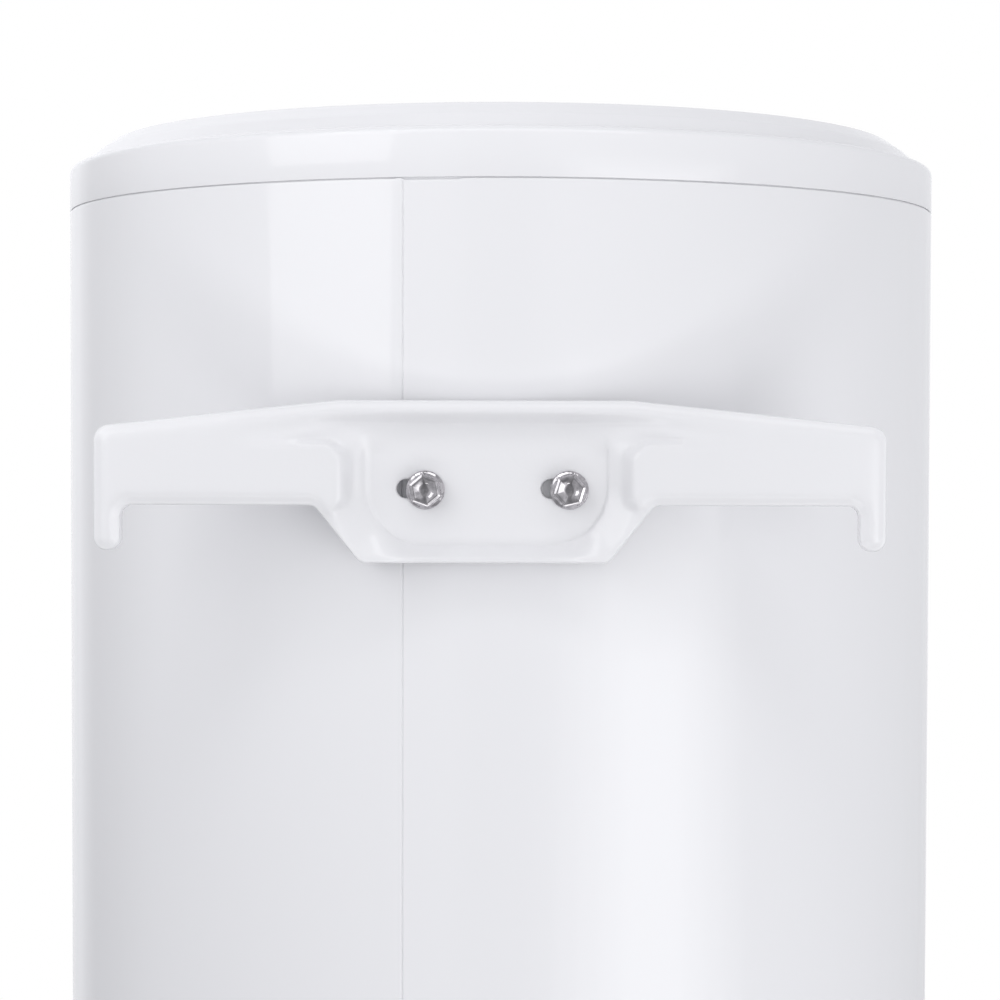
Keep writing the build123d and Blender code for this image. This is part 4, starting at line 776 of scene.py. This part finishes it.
def make_casing():
    """Rolled sheet with a folded upright seam. Its top edge is a little uneven by the seam."""
    near = [0, 0.1, 0.2, 0.3, 0.45, 0.6, 0.8, 1.1, 1.6, 2.4, 3.6, 5.5, 8, 11, 15]
    arcs = sorted({s * a * MM for a in near for s in (-1, 1)})
    angles = [SEAM + a / CASING_R for a in arcs]
    rest = 2 * pi - (angles[-1] - angles[0])
    count = 440
    angles += [angles[-1] + rest * k / count for k in range(1, count)]
    height = CASING_TOP - CASING_BOTTOM
    hem = [0, 0.15 * MM, 0.45 * MM, 1.2 * MM, 3 * MM]
    rows = hem + [3 * MM + (height - 6 * MM) * k / 48 for k in range(1, 48)]
    rows += [height - r for r in reversed(hem)]
    verts, faces = [], []

    def arc_from_seam(angle):
        arc = (angle - SEAM) * CASING_R
        return arc - 2 * pi * CASING_R if arc > pi * CASING_R else arc

    def point(angle, z, depth):
        arc = arc_from_seam(angle)
        r = CASING_R + seam_profile(arc) - depth
        wave = noise.noise(Vector((cos(angle) * 2.2, sin(angle) * 2.2, z * 9.0)))
        r += 0.05 * MM * wave
        return Vector((r * cos(angle), AXIS_Y + r * sin(angle), z))

    def top_dip(arc):
        """The edge dips a little to one side of the seam and stands up right beside it."""
        dip = smooth(arc, 0.2 * MM, 1.0 * MM) * (1 - smooth(arc, 24 * MM, 27 * MM))
        tab = smooth(-arc, 0.2 * MM, 0.6 * MM) * (1 - smooth(-arc, 2.2 * MM, 3.4 * MM))
        dip, tab = 0.55 * MM * float(dip), 0.35 * MM * float(tab)
        return tab - dip + 0.35 * MM

    for depth in (0.0, SHEET_T):
        for row in rows:
            for angle in angles:
                arc = arc_from_seam(angle)
                near_top = float(smooth(row, height - 12 * MM, height))
                edge = min(row, height - row)
                curl = 0.15 * MM * (1 - min(1.0, edge / (0.45 * MM))) ** 2
                z = CASING_BOTTOM + row + top_dip(arc) * near_top
                verts.append(point(angle, z, depth + (curl if depth == 0 else -curl)))
    n, m = len(angles), len(rows)
    for k in range(m - 1):
        for i in range(n):
            j = (i + 1) % n
            a, b = k * n, (k + 1) * n
            faces.append((a + i, a + j, b + j, b + i))
            a, b = a + m * n, b + m * n
            faces.append((a + j, a + i, b + i, b + j))
    for i in range(n):
        j = (i + 1) % n
        faces.append((i, m * n + i, m * n + j, j))
        a, b = (m - 1) * n, (2 * m - 1) * n
        faces.append((a + j, b + j, b + i, a + i))
    skin = piece("casing_skin", verts, faces, "casing_white", "heater", ["outer_casing"], 40)
    case_lo, case_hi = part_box("thermometer_case")
    gauge = Vector(((case_lo.x + case_hi.x) / 2, casing_lo.y, (case_lo.z + case_hi.z) / 2))
    holes = [(gauge, (0, -1, 0), (case_hi.x - case_lo.x) / 2 + 0.3 * MM)]
    holes += [(Vector((x, casing_hi.y, BOLT_Z)), (0, 1, 0), 4.6 * MM) for x in (-BOLT_X, BOLT_X)]
    pierce(skin, holes)


def pierce(obj, holes):
    """Cuts round holes (centre, axis, radius) through a thin wall."""
    cutters = []
    for centre, axis, radius in holes:
        tube = [(0, -9 * MM), (radius, -9 * MM), (radius, 9 * MM), (0, 9 * MM)]
        verts, faces = spin(tube, 96, placed(centre, axis))
        cutter = add_object("cutter", closed_mesh("cutter", verts, faces, weld=False))
        cutters.append(cutter)
        cut = obj.modifiers.new("hole", "BOOLEAN")
        cut.operation = "DIFFERENCE"
        cut.solver = "EXACT"
        cut.object = cutter
    graph = bpy.context.evaluated_depsgraph_get()
    data = bpy.data.meshes.new_from_object(obj.evaluated_get(graph))
    obj.modifiers.clear()
    obj.data = data
    data.set_sharp_from_angle(angle=radians(40))
    for cutter in cutters:
        bpy.data.objects.remove(cutter)


make_casing()


# ---- caps
CAP_WALL = 2.5 * MM
DOME_EDGE = (192.2, 36.7)
DOME_TOP = (cap_hi.z - CAP_BASE) / MM


def cap_outline(inward):
    """Half section of the top cap from its lower edge to the axis, in millimetres."""
    corners = [
        (225.0, 0.5, 0),
        (225.0, 22.3, 4.2),
        (218.6, 23.2, 1.6),
        (212.0, 29.4, 6.0),
        (203.3, 35.3, 3.0),
        (DOME_EDGE[0], DOME_EDGE[1], 0),
    ]
    points = [tuple(p) for p in rounded(corners, closed=False, steps=10)]
    steps = 40
    for k in range(1, steps + 1):
        r = DOME_EDGE[0] * (1 - k / steps)
        rise = (DOME_TOP - DOME_EDGE[1]) * (1 - (r / DOME_EDGE[0]) ** 2)
        points.append((r, DOME_EDGE[1] + rise))
    return [(max(0.0, r - inward), h - (inward if h > 8 else 0)) for r, h in points]


def make_cap():
    outside = [(r * MM, CAP_BASE + h * MM) for r, h in cap_outline(0)]
    lining = [(r * MM, CAP_BASE + h * MM) for r, h in cap_outline(CAP_WALL / MM)]
    lip_out, lip_in = 223.9 * MM, 221.6 * MM
    foot = [
        (outside[0][0] - 0.15 * MM, CAP_BASE + 0.12 * MM),
        (outside[0][0] - 0.5 * MM, CAP_BASE),
        (lip_out, CAP_BASE),
        (lip_out, cap_lo.z + 0.5 * MM),
        (lip_out - 0.4 * MM, cap_lo.z),
        (lip_in + 0.3 * MM, cap_lo.z),
        (lip_in, cap_lo.z + 0.4 * MM),
        (lip_in, CAP_BASE + 4 * MM),
    ]
    rings = list(reversed(outside)) + foot + [p for p in lining if p[1] > CAP_BASE + 6 * MM]
    rings[0] = (0, rings[0][1])
    rings[-1] = (0, rings[-1][1])
    verts, faces = spin(rings, 480, Matrix.Translation((0, AXIS_Y, 0)))
    waved = []
    for v in verts:
        wave = noise.noise(Vector((v.x * 5, v.y * 5, 1.0)))
        far = smooth(hypot(v.x, v.y - AXIS_Y), 0.05, 0.2)
        lift = float(smooth(v.z, CAP_BASE + 18 * MM, CAP_BASE + 40 * MM))
        waved.append(Vector((v.x, v.y, v.z + 0.5 * MM * wave * lift * float(1 - far * 0.4))))
    return piece("cap_shell", waved, faces, "cap_white", "heater", ["top_cap"], 40)


make_cap()


# ---- threads and gland
THREAD_PITCH = 1.814 * MM


def make_nipple(name, node):
    """Steel pipe end with a half-inch parallel thread."""
    lo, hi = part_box(node)
    x, y = (lo.x + hi.x) / 2, (lo.y + hi.y) / 2
    pipe_r = (hi.x - lo.x) / 2
    crest, root, bore = 10.48 * MM, 9.32 * MM, 8.0 * MM
    thread_h = 24.8 * MM
    fade = 1.6 * MM

    def thread(z):
        def radius(angle):
            phase = (z / THREAD_PITCH - angle / (2 * pi)) % 1.0
            shape = 0.5 + 0.5 * cos(2 * pi * phase)
            shape = min(1.0, max(0.0, 1.3 * shape - 0.15))
            up = float(smooth(z, lo.z, lo.z + fade)
                       * (1 - smooth(z, lo.z + thread_h - fade, lo.z + thread_h)))
            chamfer = 0.5 * MM * float(1 - smooth(z, lo.z, lo.z + 0.8 * MM))
            return crest - (crest - root) * (1 - shape) * up - chamfer

        return radius

    rings = [(bore, hi.z), (pipe_r, hi.z), (pipe_r, lo.z + thread_h + 0.3 * MM)]
    rows = int(thread_h / (THREAD_PITCH / 9))
    levels = [lo.z + thread_h * (1 - k / rows) for k in range(rows + 1)]
    rings += [(thread(z), z) for z in levels]
    rings += [(bore + 0.3 * MM, lo.z), (bore, lo.z + 0.4 * MM)]
    verts, faces = spin(rings, 64, Matrix.Translation((x, y, 0)))
    return piece(name, verts, faces, "zinc_steel", "heater", [node], 40)


make_nipple("threaded_cold_pipe", "cold_nipple")
make_nipple("threaded_hot_pipe", "hot_nipple")


def make_gland():
    """Cable gland: hexagon body, ribbed dome nut, sealing insert with its open bore."""
    lo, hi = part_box("cable_gland")
    x, y = (lo.x + hi.x) / 2, (lo.y + hi.y) / 2
    base = floor_lo.z
    body = hexagon(19.0 * MM, 10.6 * MM)

    def ribs(r):
        return lambda a: r - 0.45 * MM * (0.5 - 0.5 * cos(18 * a)) ** 3

    rings = [
        (4.5 * MM, hi.z), (7.6 * MM, hi.z), (7.9 * MM, hi.z - 0.4 * MM), (7.9 * MM, base),
        (lambda a: body(a) - 0.4 * MM, base), (body, base - 0.4 * MM), (body, base - 4.2 * MM),
        (lambda a: body(a) - 0.4 * MM, base - 4.8 * MM), (9.0 * MM, base - 5.0 * MM),
        (9.0 * MM, base - 5.3 * MM), (ribs(9.4 * MM), base - 5.7 * MM),
        (ribs(9.3 * MM), base - 11.0 * MM), (ribs(8.6 * MM), base - 13.2 * MM),
        (7.6 * MM, base - 15.0 * MM), (6.6 * MM, lo.z + 0.2 * MM),
        (6.0 * MM, lo.z), (5.6 * MM, lo.z + 0.2 * MM), (5.4 * MM, lo.z + 1.4 * MM),
        (4.9 * MM, lo.z + 1.4 * MM), (4.5 * MM, lo.z + 1.9 * MM),
    ]
    verts, faces = spin(rings, 216, Matrix.Translation((x, y, 0)))
    return piece("ribbed_gland", verts, faces, "gland_grey", "heater", ["cable_gland"], 28)


make_gland()


# ---- dial, knob and switch marks
def wall(count):
    """Side faces between two outlines of count points each."""
    return [(i, (i + 1) % count, count + (i + 1) % count, count + i) for i in range(count)]


def slab(points, place, thick):
    """Flat outline given thickness along local Z."""
    count = len(points)
    verts = [place @ Vector((x, y, h)) for h in (0, thick) for x, y in points]
    faces = [tuple(reversed(range(count))), tuple(range(count, 2 * count))]
    return verts, faces + wall(count)


def merge(parts):
    verts, faces = [], []
    for more, shapes in parts:
        faces += [tuple(i + len(verts) for i in shape) for shape in shapes]
        verts += more
    return verts, faces


def tick(angle, near, far, width, place, thick):
    """Bar along a radius; angle counts from local +Y, clockwise."""
    turn = Matrix.Rotation(-angle, 4, "Z")
    half, tip = width / 2, width / 3
    outline = [(-half, near), (-half, far - tip), (-half + tip, far), (half - tip, far),
               (half, far - tip), (half, near)]
    return slab(outline, place @ turn, thick)


def arc_band(start, end, near, far, place, thick):
    steps = 28
    angles = [start + (end - start) * k / steps for k in range(steps + 1)]
    outline = [(far * sin(a), far * cos(a)) for a in angles]
    outline += [(near * sin(a), near * cos(a)) for a in reversed(angles)]
    return slab(outline, place, thick)


def numeral(text, size, x, y, place, thick):
    """Number centred on a local point, as a solid mesh."""
    curve = bpy.data.curves.new("numeral", "FONT")
    curve.body = text
    curve.size = size
    curve.align_x = "CENTER"
    curve.align_y = "CENTER"
    curve.extrude = thick / 2
    curve.resolution_u = 3
    holder = bpy.data.objects.new("numeral", curve)
    mesh = bpy.data.meshes.new_from_object(holder)
    at = place @ Matrix.Translation((x, y, thick / 2))
    verts = [at @ v.co for v in mesh.vertices]
    faces = [tuple(face.vertices) for face in mesh.polygons]
    bpy.data.objects.remove(holder)
    return verts, faces


def facing(origin, right, up):
    """Matrix with local X to the reader's right, local Y up and Z towards the reader."""
    right, up = Vector(right), Vector(up)
    return Matrix.Translation(origin) @ Matrix((right, up, right.cross(up))).transposed().to_4x4()


def scale(start, sweep, steps, radii, widths, numbers, size, ring, place, thick):
    """Ticks over a sweep, every fifth one longer and wider, with numbers on a ring inside or
    outside them. radii(major) gives a tick's two ends."""
    marks = []
    for k in range(steps + 1):
        major = k % 5 == 0
        near, far = radii(major)
        width = widths[0] if major else widths[1]
        marks.append(tick(start + sweep * k / steps, near, far, width, place, thick))
    for k, number in enumerate(numbers):
        angle = start + sweep * k / (len(numbers) - 1)
        at = ring * sin(angle), ring * cos(angle)
        marks.append(numeral(str(number), size, *at, place, thick))
    return marks


GAUGE_SWEEP = radians(230)      # the needle's travel
KNOB_SWEEP = radians(265)       # the knob's travel


def make_gauge():
    """Scale from 0 to 80 degrees over the needle's travel, with a red zone at the hot end."""
    middle_z = (dial_lo.z + dial_hi.z) / 2
    face = facing((0, dial_lo.y, middle_z), (1, 0, 0), (0, 0, 1))
    sweep = GAUGE_SWEEP
    marks = scale(-sweep / 2, sweep, 40, lambda major: ((18.6 if major else 20.3) * MM, 22.0 * MM),
                  (0.75 * MM, 0.4 * MM), range(0, 81, 20), 4.6 * MM, 14.8 * MM, face, 0.14 * MM)
    marks.append(arc_band(-sweep / 2, sweep / 2, 22.0 * MM, 22.35 * MM, face, 0.12 * MM))
    piece("gauge_scale", *merge(marks), "switch_black")
    band = arc_band(sweep * 0.25, sweep / 2, 17.2 * MM, 18.0 * MM, face, 0.10 * MM)
    piece("gauge_hot_zone", *band, "needle_red")


def make_knob_marks():
    """Pointer rib on the knob, and a scale round it on the cover, read from below."""
    x, y = (knob_lo.x + knob_hi.x) / 2, (knob_lo.y + knob_hi.y) / 2
    knob_r = (knob_hi.x - knob_lo.x) / 2
    start, sweep = radians(-132.5), KNOB_SWEEP
    # Read from below, with the front edge up.
    plate = facing((x, y, cover_lo.z), (1, 0, 0), (0, -1, 0))
    crown = facing((x, y, knob_lo.z), (1, 0, 0), (0, -1, 0))
    marks = scale(start, sweep, 20, lambda major: (23.6 * MM, (27.5 if major else 26.0) * MM),
                  (0.9 * MM, 0.5 * MM), range(30, 71, 10), 5.4 * MM, 32.5 * MM, plate, 0.15 * MM)
    piece("knob_scale", *merge(marks), "switch_black")
    rib = tick(start, 6.5 * MM, knob_r - 2.2 * MM, 2.0 * MM, crown, 0.5 * MM)
    piece("knob_pointer", *rib, "cover_white", "temperature_control")
    ring = spin([(7.8 * MM, 0), (7.8 * MM, 0.35 * MM), (8.1 * MM, 0.5 * MM), (8.9 * MM, 0.5 * MM),
                 (9.2 * MM, 0.35 * MM), (9.2 * MM, 0)], 72, crown)
    piece("knob_ring", *ring, "bezel_silver", "temperature_control")


def make_switch_marks():
    """Bar and ring moulded on the rocker's two halves."""
    lo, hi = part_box("rocker_switch")
    x, y = (lo.x + hi.x) / 2, (lo.y + hi.y) / 2
    rocker = nodes["rocker_switch"]
    frame_of = rocker.matrix_world
    parts = []
    bar = [(-0.45, -2.2), (0.45, -2.2), (0.45, 2.2), (-0.45, 2.2)]
    for centre, outline in ((x + 6.4 * MM, bar), (x - 6.4 * MM, None)):
        if outline is None:
            around = [2 * pi * k / 24 for k in range(24)]
            rows = [[(r * cos(a), r * sin(a)) for a in around] for r in (1.5, 2.2)]
        else:
            rows = [[(px * 0.999, py * 0.999) for px, py in outline], outline]
        verts = []
        for lift in (-0.05, 0.16):
            for row in rows:
                for px, py in row:
                    start = Vector((centre + px * MM, y + py * MM, lo.z - 0.02))
                    local = frame_of.inverted() @ start
                    hit, where, *_ = rocker.ray_cast(local, Vector((0, 0, 1)))
                    on = frame_of @ where if hit else start + Vector((0, 0, 0.02))
                    verts.append(on - Vector((0, 0, lift * MM)))
        n = len(rows[0])
        faces = []
        if outline is None:
            for i in range(n):
                j = (i + 1) % n
                b, c, d = n, 2 * n, 3 * n
                faces += [(i, j, c + j, c + i), (b + j, b + i, d + i, d + j),
                          (c + i, c + j, d + j, d + i)]
        else:
            verts = verts[n:2 * n] + verts[3 * n:]
            faces = [tuple(range(n, 2 * n))] + wall(n)
        parts.append((verts, faces))
    piece("rocker_marks", *merge(parts), "cover_white", "rocker")


make_gauge()
make_knob_marks()
make_switch_marks()


# ---- camera, light and floor
HEIGHT = 36.7 * MM
BACK = 1.0344
ASIDE = -6.6 * MM
LENS = 86.15             # focal length in millimetres on a 36 mm sensor
PITCH = radians(1.89)
ROLL = radians(-0.132)
LIGHT_LEVEL = 1.11       # scales the room's light and every lamp
# Level of the room's light by azimuth from +Y towards +X, in degrees.
ROOM_LIGHT = [
    (-179, 0.88), (-150, 0.74), (-110, 0.70), (-60, 0.70), (-13, 0.64), (-6, 0.34),
    (6, 0.34), (13, 0.64), (60, 0.68), (100, 0.72),
    (116, 0.46), (132, 0.46), (146, 0.96), (179, 0.88),
]


def make_camera():
    data = bpy.data.cameras.new("camera")
    data.sensor_width = 36
    data.lens = LENS
    data.clip_start = 0.05
    camera = add_object("camera", data)
    eye = Vector((ASIDE, BACK, HEIGHT))
    flat = Vector((0 - eye.x, AXIS_Y - eye.y, 0)).normalized()
    look = (flat * cos(PITCH) + Vector((0, 0, -sin(PITCH)))).normalized()
    right = look.cross(Vector((0, 0, 1))).normalized()
    up = right.cross(look)
    right, up = right * cos(ROLL) - up * sin(ROLL), up * cos(ROLL) + right * sin(ROLL)
    basis = Matrix((right, up, -look)).transposed().to_4x4()
    camera.matrix_world = Matrix.Translation(eye) @ basis
    bpy.context.scene.camera = camera


def softbox(name, azimuth, elevation, distance, wide, tall, radiance, mirrored=True):
    """Area light aimed at the heater, wide and tall degrees across as seen from it.
    Azimuth is from +Y, positive towards +X."""
    data = bpy.data.lights.new(name, "AREA")
    data.shape = "RECTANGLE"
    data.size = 2 * distance * tan(radians(wide / 2))
    data.size_y = 2 * distance * tan(radians(tall / 2))
    data.energy = LIGHT_LEVEL * radiance * pi * data.size * data.size_y
    light = add_object(name, data)
    light.visible_camera = False
    light.visible_glossy = mirrored
    a, e = radians(azimuth), radians(elevation)
    out = Vector((sin(a) * cos(e), cos(a) * cos(e), sin(e)))
    aim = out.to_track_quat("Z", "Y").to_matrix().to_4x4()
    light.matrix_world = Matrix.Translation(Vector((0, AXIS_Y, 0)) + out * distance) @ aim


def make_world():
    """Pale room light, dimmer from below and from the side behind the wall; white to the camera."""
    world = bpy.data.worlds.new("studio")
    world.use_nodes = True
    tree = world.node_tree
    tree.nodes.clear()
    new, link = tree.nodes.new, tree.links.new
    mix = new("ShaderNodeMixShader")
    room = new("ShaderNodeBackground")
    paper = new("ShaderNodeBackground")
    paper.inputs["Color"].default_value = (1, 1, 1, 1)
    paper.inputs["Strength"].default_value = 1.0
    direction = new("ShaderNodeTexCoord")
    around = new("ShaderNodeTexGradient")
    around.gradient_type = "RADIAL"
    ramp = new("ShaderNodeValToRGB")
    link(direction.outputs["Generated"], around.inputs["Vector"])
    link(around.outputs["Fac"], ramp.inputs["Fac"])
    elements = ramp.color_ramp.elements
    while len(elements) > 1:
        elements.remove(elements[-1])
    for k, (azimuth, level) in enumerate(ROOM_LIGHT):
        at = (0.75 - azimuth / 360) % 1.0
        element = elements[0] if k == 0 else elements.new(at)
        element.position = at
        level *= LIGHT_LEVEL
        element.color = (level * 0.965, level * 0.97, level, 1)
    split = new("ShaderNodeSeparateXYZ")
    height = new("ShaderNodeValToRGB")
    link(direction.outputs["Generated"], split.inputs["Vector"])
    lift = new("ShaderNodeMapRange")
    lift.inputs["From Min"].default_value = -1.0
    link(split.outputs["Z"], lift.inputs["Value"])
    link(lift.outputs["Result"], height.inputs["Fac"])
    levels = height.color_ramp.elements
    levels[0].position, levels[1].position = 0.10, 1.0
    levels[0].color, levels[1].color = (0.55, 0.55, 0.55, 1), (0.84, 0.84, 0.84, 1)
    for at, level in ((0.45, 0.95), (0.58, 1.06), (0.78, 0.96)):
        levels.new(at).color = (level, level, level, 1)
    link(height.outputs["Color"], room.inputs["Strength"])
    link(ramp.outputs["Color"], room.inputs["Color"])
    link(new("ShaderNodeLightPath").outputs["Is Camera Ray"], mix.inputs["Fac"])
    link(room.outputs["Background"], mix.inputs[1])
    link(paper.outputs["Background"], mix.inputs[2])
    link(mix.outputs["Shader"], new("ShaderNodeOutputWorld").inputs["Surface"])
    bpy.context.scene.world = world


FLOOR_Z = -2.7          # the heater hangs well above the floor
PANEL_GLOW = 0.62


def make_floor():
    f = Finish("floor_pale", IOR=1.4)
    f.colour([0.86, 0.86, 0.87], f.noise(200 * MM, 3), 0.01)
    f.rough(f.noise(60 * MM, 3), 0.55, 0.7)
    f.bump(f.noise(4 * MM, 3), 0.02 * MM)
    place = Matrix.Translation((0, AXIS_Y, FLOOR_Z))
    verts, faces = spin([(0, 0), (1.5, 0), (1.52, -0.01), (0, -0.01)], 160, place)
    data = bpy.data.meshes.new("studio_floor")
    data.from_pydata([tuple(v) for v in verts], [], faces)
    data.materials.append(f.material)
    floor = add_object("studio_floor", data)


def make_panels():
    """Pale panels beside the heater, seen only in reflections and only from the front. They
    keep the lamps behind the heater from whitening its outline there."""
    material = bpy.data.materials.new("panel_pale")
    material.use_nodes = True
    material.cycles.emission_sampling = "NONE"
    tree = material.node_tree
    tree.nodes.clear()
    new, link = tree.nodes.new, tree.links.new
    glow = new("ShaderNodeEmission")
    glow.inputs["Strength"].default_value = PANEL_GLOW * LIGHT_LEVEL
    mix = new("ShaderNodeMixShader")
    link(new("ShaderNodeNewGeometry").outputs["Backfacing"], mix.inputs["Fac"])
    link(glow.outputs["Emission"], mix.inputs[1])
    link(new("ShaderNodeBsdfTransparent").outputs["BSDF"], mix.inputs[2])
    link(mix.outputs["Shader"], new("ShaderNodeOutputMaterial").inputs["Surface"])
    depth = AXIS_Y + 20 * MM
    for name, near, far in (("panel_left", -1.2, -0.231), ("panel_right", 0.231, 1.2)):
        data = bpy.data.meshes.new(name)
        corners = [(near, depth, -1.2), (far, depth, -1.2), (far, depth, 1.2), (near, depth, 1.2)]
        data.from_pydata(corners, [], [(0, 1, 2, 3)])
        data.materials.append(material)
        panel = add_object(name, data)
        panel.visible_camera = panel.visible_diffuse = panel.visible_shadow = False
        panel.visible_transmission = panel.visible_volume_scatter = False


make_camera()
make_world()
make_floor()
make_panels()
softbox("key_high", 39, 22, 1.1, 30, 38, 1.3)
for shrink in (1.0, 0.78, 0.56, 0.34):
    softbox(f"key_low_{shrink:.2f}", -36, -15, 1.4 - 0.05 * shrink, 44 * shrink, 34 * shrink + 4, 0.52)
softbox("strip_high", 5, 52, 1.0, 60, 10, 2.0)
softbox("strip_low", 0, -46, 3.5, 60, 12, 1.6)
softbox("front_fill", 150, 24, 2.2, 50, 50, 0.55, mirrored=False)
bpy.context.scene.view_settings.view_transform = "Standard"
